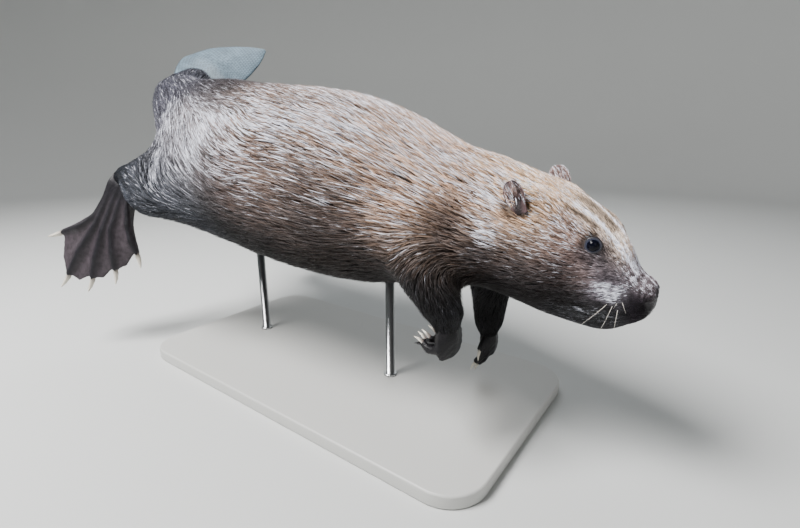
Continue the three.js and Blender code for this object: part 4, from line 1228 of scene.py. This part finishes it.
EAR_STEPS, EAR_SIDES = 40, 56
for side, sign in (("right", -1), ("left", 1)):
    mirror = np.array([1, sign, 1])
    axes = facing(mirror * EAR_FORWARD, mirror * EAR_UPWARD)
    axes[:, 1] *= sign
    height, half = through(EAR_ROWS, EAR_STEPS).T[:, :, None]
    turn = np.linspace(0, 2 * math.pi, EAR_SIDES, endpoint=False)
    s, out = np.cos(turn), np.sin(turn)
    hollow = EAR_HOLLOW * (1 - s**2) * rise(height, -6, 6)
    thick = (2.6 - 0.05 * height) * np.where(out > 0, 1.0, 0.6)
    fold = 0.9 * np.exp(-(((s - 0.35) / 0.1) ** 2)) + 0.7 * np.exp(-(((s + 0.3) / 0.12) ** 2))
    y = -hollow + thick * np.sign(out) * np.abs(out) ** 0.8 + fold * (out > 0) * rise(height, 2, 8)
    ear_points = np.stack([half * s + 0 * y, y, height + 0 * y], -1).reshape(-1, 3) @ axes.T
    ear_points = at_head(mirror * EAR_AT + ear_points)
    leaf = mesh_of(f"ear_leaf_{side}", ear_points, grid_faces(EAR_STEPS, EAR_SIDES))
    capped(leaf, EAR_STEPS, EAR_SIDES)
    # The low part of the cup is painted dark as shade in the opening, and the crease as painted shadow along
    # the edge.
    cup = (out > 0) * (1 - s**2) * (1 - rise(height, 4, 12))
    crease = (out > 0) * np.exp(-(((s - 0.62) / 0.16) ** 2)) * rise(height, 3, 8)
    dark = np.clip(cup + crease, 0, 0.95)[..., None]
    tone = linear(EAR_TONE) * (1 - dark) + linear(EAR_OPENING_SHADE_TONE) * dark
    paint(leaf, tone.reshape(-1, 3))
    leaf.materials.append(bare_finish)
    ear = linked(f"ear_leaf_{side}", leaf)
    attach(ear, "root")
    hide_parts(f"ear_{side}")

    leaf_ground = Ground(places(leaf), outwards(leaf), 1.2 * MM)
    leaf_triangles = corners_of(leaf)
    # Where the leaf is painted dark as shade, the ear's hair is darkened too and none grows.
    bare_shaded_cup = dark.reshape(-1)
    tipwards = HEAD_AXES @ axes[:, 2]

    def ear_coat(points):
        """Short sparse hair, with the leaf's own tone and its painted shade in the cup."""
        found = leaf_ground.under(points)
        one = np.ones(len(points))
        tone = linear(EAR_HAIR_TONE) * (1 - 0.8 * bare_shaded_cup[found])[:, None]
        return tone, 0.4 * one, 0.9 * MM * one, 6 * MM * one, 0.9 * MM * one

    def ear_lie(points, normals):
        """From the root to the tip."""
        return along_skin(np.broadcast_to(tipwards, points.shape), normals)

    def ear_cover(points):
        """None in the opening, and none inside the head."""
        found = leaf_ground.under(points)
        height = (points - at_head(mirror * EAR_AT)) @ tipwards / MM
        return (1 - bare_shaded_cup[found]) * rise(height, -3, 2) * (1 - rise(height, 17, 21))

    line = [leaf_ground.points[0], leaf_ground.points[-1]]
    ear_grows = (ear_coat, ear_lie, ear_cover)
    coat_piece(f"coat_ear_{side}", leaf_ground, leaf_triangles, SHORT_TUFT, 2.5, line, 50 + sign, ear_grows)

# ---------------------------------------------------------------- feet and hands
# Bare, finely scaled skin. The hind feet are fully webbed: their toes are ridges with knuckles in a
# sheet that is thin and paler between them. The hands have loose fingers, the near one half a fist.

# Hind toes from the inner one outwards: places (forwards, inwards) from the ankle, and width.
HIND_TOES = [
    ([(8, 17), (40, 23), (65, 33), (87, 47), (105, 61)], 12),
    ([(8, 9), (44, 11), (82, 14), (116, 29), (142, 41)], 14),
    ([(8, 0), (45, 1), (88, 3), (132, 9), (168, 14)], 15),
    ([(8, -9), (44, -9), (86, -10), (134, -17), (178, -21)], 15),
    ([(8, -15), (42, -14), (75, -17), (101, -35), (121, -58)], 14),
]
FOOT_CELL = {"hind": 1.7 * MM, "hand": 1.3 * MM}
# The hands' tone is dark skin made darker with painted shade.
TOE_TONE, WEB_TONE, HAND_TONE = (20, 18, 24), (62, 55, 60), (11, 9, 13)

for name, (ankle, forward, back) in FEET.items():
    kind, side = name.split("_")[0], name.split("_")[-1]
    foot = remeshed(f"skin_{name}", [merged_copy(name, CAD_GAP)], FOOT_CELL[kind])
    mesh = foot.data
    put(mesh, smoothed(mesh, np.full(len(mesh.vertices), 0.5), 5))
    axes = facing(forward, back)
    local = (places(mesh) - np.array(ankle) * MM) @ axes / MM
    normals = outwards(mesh)
    inwards = 1 if side == "left" else -1
    if kind == "hind":
        flat = np.stack([local[:, 0], -inwards * local[:, 1], 0 * local[:, 0]], 1)
        on_toe, knuckle = np.zeros(len(flat)), np.zeros(len(flat))
        for line, width in HIND_TOES:
            line = np.array([(a, b, 0) for a, b in line], float)
            on_toe = np.maximum(on_toe, np.exp(-((distance_to_line(flat, line) / (0.42 * width)) ** 2)))
            for joint in line[2:4]:
                knuckle = np.maximum(knuckle, near(flat, joint, 4.5))
        on_toe = np.maximum(on_toe, 1 - rise(local[:, 0], 25, 60))
        wrinkle = np.sin(local[:, 0] * 2 * math.pi / 3.4) * rise(local[:, 0], 40, 60)
        height = 1.1 * on_toe + 0.9 * knuckle - 0.5 + 0.22 * wrinkle * on_toe
        height -= (1 - on_toe) * 0.25 * np.abs(np.sin(local[:, 1] * 0.9 + 0.04 * local[:, 0]))
        toe_tone, web_tone = linear(TOE_TONE), linear(WEB_TONE)
    else:
        on_toe = np.ones(len(local))
        wrinkle = np.sin(local[:, 2] * 1.9 + local[:, 0] * 1.2)
        height = 0.2 * wrinkle * rise(local[:, 0], 10, 25)
        toe_tone = web_tone = linear(HAND_TONE)
    height -= 2.6 * (1 - rise(local[:, 0], 2, 17))
    put(mesh, places(mesh) + MM * height[:, None] * normals)
    underneath = rise(-(normals @ axes[:, 2]), 0.2, 0.7)[:, None]
    tone = web_tone + (toe_tone - web_tone) * on_toe[:, None]
    paint(mesh, tone * (1 - 0.25 * underneath))
    finished(mesh, bare_finish)
    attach(foot, "root")
    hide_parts(name)

# ---------------------------------------------------------------- claws
# Horn, dark at the root and pale at the worn tip, with fine grooves along it.

CLAW_CELL = {"hind": 0.9 * MM, "hand": 0.6 * MM}
CLAW_ROOT_TONE, CLAW_TIP_TONE = (84, 72, 70), (206, 200, 186)

claw_finish, nodes, links, shader = material_of("horn", 0.34)
links.new(attribute(nodes, "Coat").outputs["Color"], shader.inputs["Base Color"])
growth = textured(nodes, links, "ShaderNodeTexNoise", Scale=420.0, Detail=2.0)
bumped(nodes, links, growth.outputs["Fac"], 0.3, 0.0004, shader)

for name, (ankle, _, _) in FEET.items():
    for number in range(1, 6):
        node = f"claw_{name}_{number}"
        claw = remeshed(f"horn_{name}_{number}", [merged_copy(node, CAD_GAP)], CLAW_CELL[name.split("_")[0]])
        mesh = claw.data
        put(mesh, smoothed(mesh, np.full(len(mesh.vertices), 0.5), 3))
        reach = np.linalg.norm(places(mesh) - np.array(ankle) * MM, axis=1)
        t = ((reach - reach.min()) / np.ptp(reach))[:, None]
        worn = rise(t, 0.05, 0.6)
        paint(mesh, linear(CLAW_ROOT_TONE) * (1 - worn) + linear(CLAW_TIP_TONE) * worn)
        finished(mesh, claw_finish)
        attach(claw, "root")
        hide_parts(node)

# ---------------------------------------------------------------- tail
# The flat paddle curls up and to the left. Its skin is parted into low six-sided scales by thin
# grooves, with a few short hairs' dents and a keel that fades towards the tip.

# Stations of the paddle from its root to its tip: the middle's place, half the width and half the
# thickness.
BLADE = [
    (-412, 46, 412, 28, 18),
    (-430, 70, 426, 39, 15),
    (-446, 98, 441, 50, 12.5),
    (-459, 130, 456, 58, 10.5),
    (-458, 158, 469, 57, 9.5),
    (-452, 186, 480, 47, 8),
    (-443, 209, 490, 33, 6.5),
    (-435, 225, 498, 19, 4.5),
    (-428, 238, 505, 4, 2),
]
BLADE_ACROSS = np.array([0.745, 0.04, -0.62])  # from edge to edge
SCALE_LONG, SCALE_WIDE, SCALE_RISE = 6.2, 5.4, 0.32
SCALE_TONE, GROOVE_TONE = (104, 122, 134), (52, 57, 64)
BLADE_RINGS, BLADE_SIDES = 230, 224

line = through(BLADE, BLADE_RINGS)
middle, wide, thick = line[:, :3], line[:, 3:4], line[:, 4:5]
along = unit(np.gradient(middle, axis=0))
above = unit(np.cross(along, BLADE_ACROSS))
aside = np.cross(above, along)
turn = np.linspace(0, 2 * math.pi, BLADE_SIDES, endpoint=False)
edge, face = np.cos(turn), np.sin(turn)
lens = np.sign(face) * np.abs(face) ** 1.25
keel = 1 + 0.18 * np.exp(-((edge / 0.22) ** 2)) * (1 - np.linspace(0, 1, BLADE_RINGS)[:, None])
across = wide * edge
way = np.concatenate([[0], np.cumsum(np.linalg.norm(np.diff(middle, axis=0), axis=1))])[:, None]


def six_sided(across, way):
    """How deep inside its scale each place of a staggered pattern of six-sided cells is: the distance
    to the nearest middle against that to the next nearest, 0 on the groove between them."""
    distances = []
    row = np.floor(way / SCALE_LONG)
    for step in (-1, 0, 1):
        shift = 0.5 * ((row + step) % 2)
        column = np.round(across / SCALE_WIDE - shift)
        for beside in (-1, 0, 1):
            middle_across = (column + beside + shift) * SCALE_WIDE
            middle_way = (row + step + 0.5) * SCALE_LONG
            distances.append(np.hypot(across - middle_across, 0.92 * (way - middle_way)))
    nearest, next_one = np.sort(np.stack(distances), axis=0)[:2]
    return next_one - nearest


inside_scale = six_sided(across + 0 * way, way + 0 * across)
relief = SCALE_RISE * (rise(inside_scale, 0.1, 1.6) - 0.6) * rise(wide, 6, 20)
thin = np.maximum(thick * keel - 0.6, 0.8)
blade_points = middle[:, None] + (0.985 * across)[..., None] * aside[:, None]
blade_points += (thin * lens + relief * np.sign(face))[..., None] * above[:, None]
blade_mesh = mesh_of("tail_paddle", MM * blade_points.reshape(-1, 3), grid_faces(BLADE_RINGS, BLADE_SIDES))
capped(blade_mesh, BLADE_RINGS, BLADE_SIDES)
tone = rise(inside_scale, 0.0, 1.3)[..., None]
# The paddle's rim is painted darker as shade on the thickness of its margin.
rim_shade = rise(np.abs(edge) + 0 * way, 0.93, 1.0)[..., None]
slate = linear(SCALE_TONE) * tone + linear(GROOVE_TONE) * (1 - tone)
paint(blade_mesh, (slate * (1 - 0.6 * rim_shade)).reshape(-1, 3))

tail_finish, nodes, links, shader = material_of("scaly_skin", 0.4)
cloud = textured(nodes, links, "ShaderNodeTexNoise", Scale=38.0, Detail=4.0)
clouded = ranged(nodes, links, cloud.outputs["Fac"], 0.3, 0.7, 0.75, 1.2)
scale_colour = attribute(nodes, "Coat").outputs["Color"]
links.new(scaled(nodes, links, scale_colour, clouded), shader.inputs["Base Color"])
grit = textured(nodes, links, "ShaderNodeTexNoise", Scale=900.0, Detail=2.0)
bumped(nodes, links, grit.outputs["Fac"], 0.3, 0.0004, shader)
blade_mesh.materials.append(tail_finish)
paddle = linked("tail_paddle", blade_mesh)
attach(paddle, "root")
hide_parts("tail_blade")

# ---------------------------------------------------------------- whiskers
# Stiff pale hairs that spring from the whisker pads, sweep back and bend down.

# In the head's frame: where each hair springs from, and how far from there its tip is.
WHISKER_ROOTS = [(103, 31, -41), (108, 31, -41), (112, 29, -42), (111, 28, -35), (115, 27, -35)]
WHISKER_ENDS = [(-12, 13, -38), (4, 13, -34), (10, 11, -22), (1, 6, -7), (10, 6, -6)]
WHISKER_THICKNESS = 0.4 * MM
WHISKER_STEPS, WHISKER_SIDES = 12, 6

whisker_finish, _, _, _ = material_of("whisker", 0.35, tuple(linear((226, 222, 212))))
for side, sign in (("right", -1), ("left", 1)):
    mirror = np.array([1, sign, 1])
    rng = np.random.default_rng(60 + sign)
    hairs = []
    for root, end in zip(WHISKER_ROOTS, WHISKER_ENDS):
        root = at_head(mirror * root)
        found = ground.under(root[None])[0]
        root = skin_points[found] - 2 * MM * skin_normals[found]
        end = HEAD_AXES @ (mirror * end * rng.uniform(0.95, 1.05, 3)) * MM
        start = 0.35 * np.linalg.norm(end) * unit(0.7 * skin_normals[found] + 0.6 * unit(end))
        t = np.linspace(0, 1, WHISKER_STEPS)[:, None]
        path = root + 2 * t * (1 - t) * start + t**2 * end
        axis = unit(np.gradient(path, axis=0))
        one = unit(np.cross(axis, (0.3, 0.2, 1)))
        two = np.cross(axis, one)
        turn = np.linspace(0, 2 * math.pi, WHISKER_SIDES, endpoint=False)[:, None]
        thin = 0.5 * WHISKER_THICKNESS * (1 - 0.88 * t[:, :, None] ** 1.5)
        rings = path[:, None] + thin * (np.cos(turn) * one[:, None] + np.sin(turn) * two[:, None])
        hair = mesh_of("hair", rings.reshape(-1, 3), grid_faces(WHISKER_STEPS, WHISKER_SIDES))
        hairs.append(capped(hair, WHISKER_STEPS, WHISKER_SIDES))
    mesh = joined(f"whiskers_{side}", hairs)
    mesh.materials.append(whisker_finish)
    whiskers = linked(f"whiskers_{side}", mesh)
    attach(whiskers, "root")

# ---------------------------------------------------------------- stand
# A plain painted plate with rounded corners and a soft edge, and two brushed steel rods that end inside
# the body.

BASE_LONG, BASE_BROAD, BASE_HIGH, BASE_CORNER, BASE_SOFT = 560, 300, 16, 45, 2.5
RODS = {"front": (84, 176), "rear": (-180, 196)}  # place along the body, and height of the top
ROD_RADIUS = 6

corner = np.linspace(0, math.pi / 2, 25)
turn = np.concatenate([corner + k * math.pi / 2 for k in range(4)])
centre_x = np.repeat([1, -1, -1, 1], 25) * (BASE_LONG / 2 - BASE_CORNER)
centre_y = np.repeat([1, 1, -1, -1], 25) * (BASE_BROAD / 2 - BASE_CORNER)
soft = np.linspace(0, math.pi / 2, 7)
inset = BASE_SOFT * np.concatenate([1 - np.sin(soft), 1 - np.cos(soft)])
height = np.concatenate([BASE_SOFT * (1 - np.cos(soft)), BASE_HIGH - BASE_SOFT * (1 - np.sin(soft))])
plate_x = centre_x + np.outer(BASE_CORNER - inset, np.cos(turn))
plate_y = centre_y + np.outer(BASE_CORNER - inset, np.sin(turn))
rings = np.stack([plate_x, plate_y, np.outer(height, np.ones(100))], -1)
plate = mesh_of("stand_plate", MM * rings.reshape(-1, 3), grid_faces(14, 100))
capped(plate, 14, 100)
for face in plate.polygons:
    face.use_smooth = len(face.vertices) == 4
paint_finish, nodes, links, shader = material_of("satin_paint", 0.42, (0.52, 0.52, 0.5))
orange_peel = textured(nodes, links, "ShaderNodeTexNoise", Scale=420.0, Detail=2.0)
bumped(nodes, links, orange_peel.outputs["Fac"], 0.12, 0.0004, shader)
plate.materials.append(paint_finish)
stand = linked("stand_plate", plate)
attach(stand, "root")
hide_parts("stand_base")

steel, nodes, links, shader = material_of("brushed_steel", 0.3, (0.55, 0.56, 0.57), metallic=1.0)
where = nodes.new("ShaderNodeTexCoord")
brushed = add(nodes, "ShaderNodeMapping", Scale=(400.0, 400.0, 30.0))
links.new(where.outputs["Object"], brushed.inputs["Vector"])
lines = add(nodes, "ShaderNodeTexNoise", Scale=3.0, Detail=3.0)
links.new(brushed.outputs["Vector"], lines.inputs["Vector"])
bumped(nodes, links, lines.outputs["Fac"], 0.15, 0.0003, shader)
for name, (x, top) in RODS.items():
    bottom, radius = BASE_HIGH + 0.35, ROD_RADIUS
    profile = [(bottom, 0.01), (bottom, radius + 3), (bottom + 2, radius + 3), (bottom + 2.6, radius + 2.4)]
    profile += [(bottom + 2.6, radius), (top - 1, radius), (top, radius - 1), (top, 0.01)]
    foot, upright = MM * np.array([x, 0, 0]), facing((0, 0, 1), (1, 0, 0))
    rod_mesh = turned(f"stand_steel_{name}", MM * np.array(profile), foot, upright)
    for face in rod_mesh.polygons:
        face.use_smooth = abs(face.normal.z) < 0.5
    rod_mesh.materials.append(steel)
    rod = linked(f"stand_steel_{name}", rod_mesh)
    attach(rod, "root")
    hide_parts(f"stand_rod_{name}")
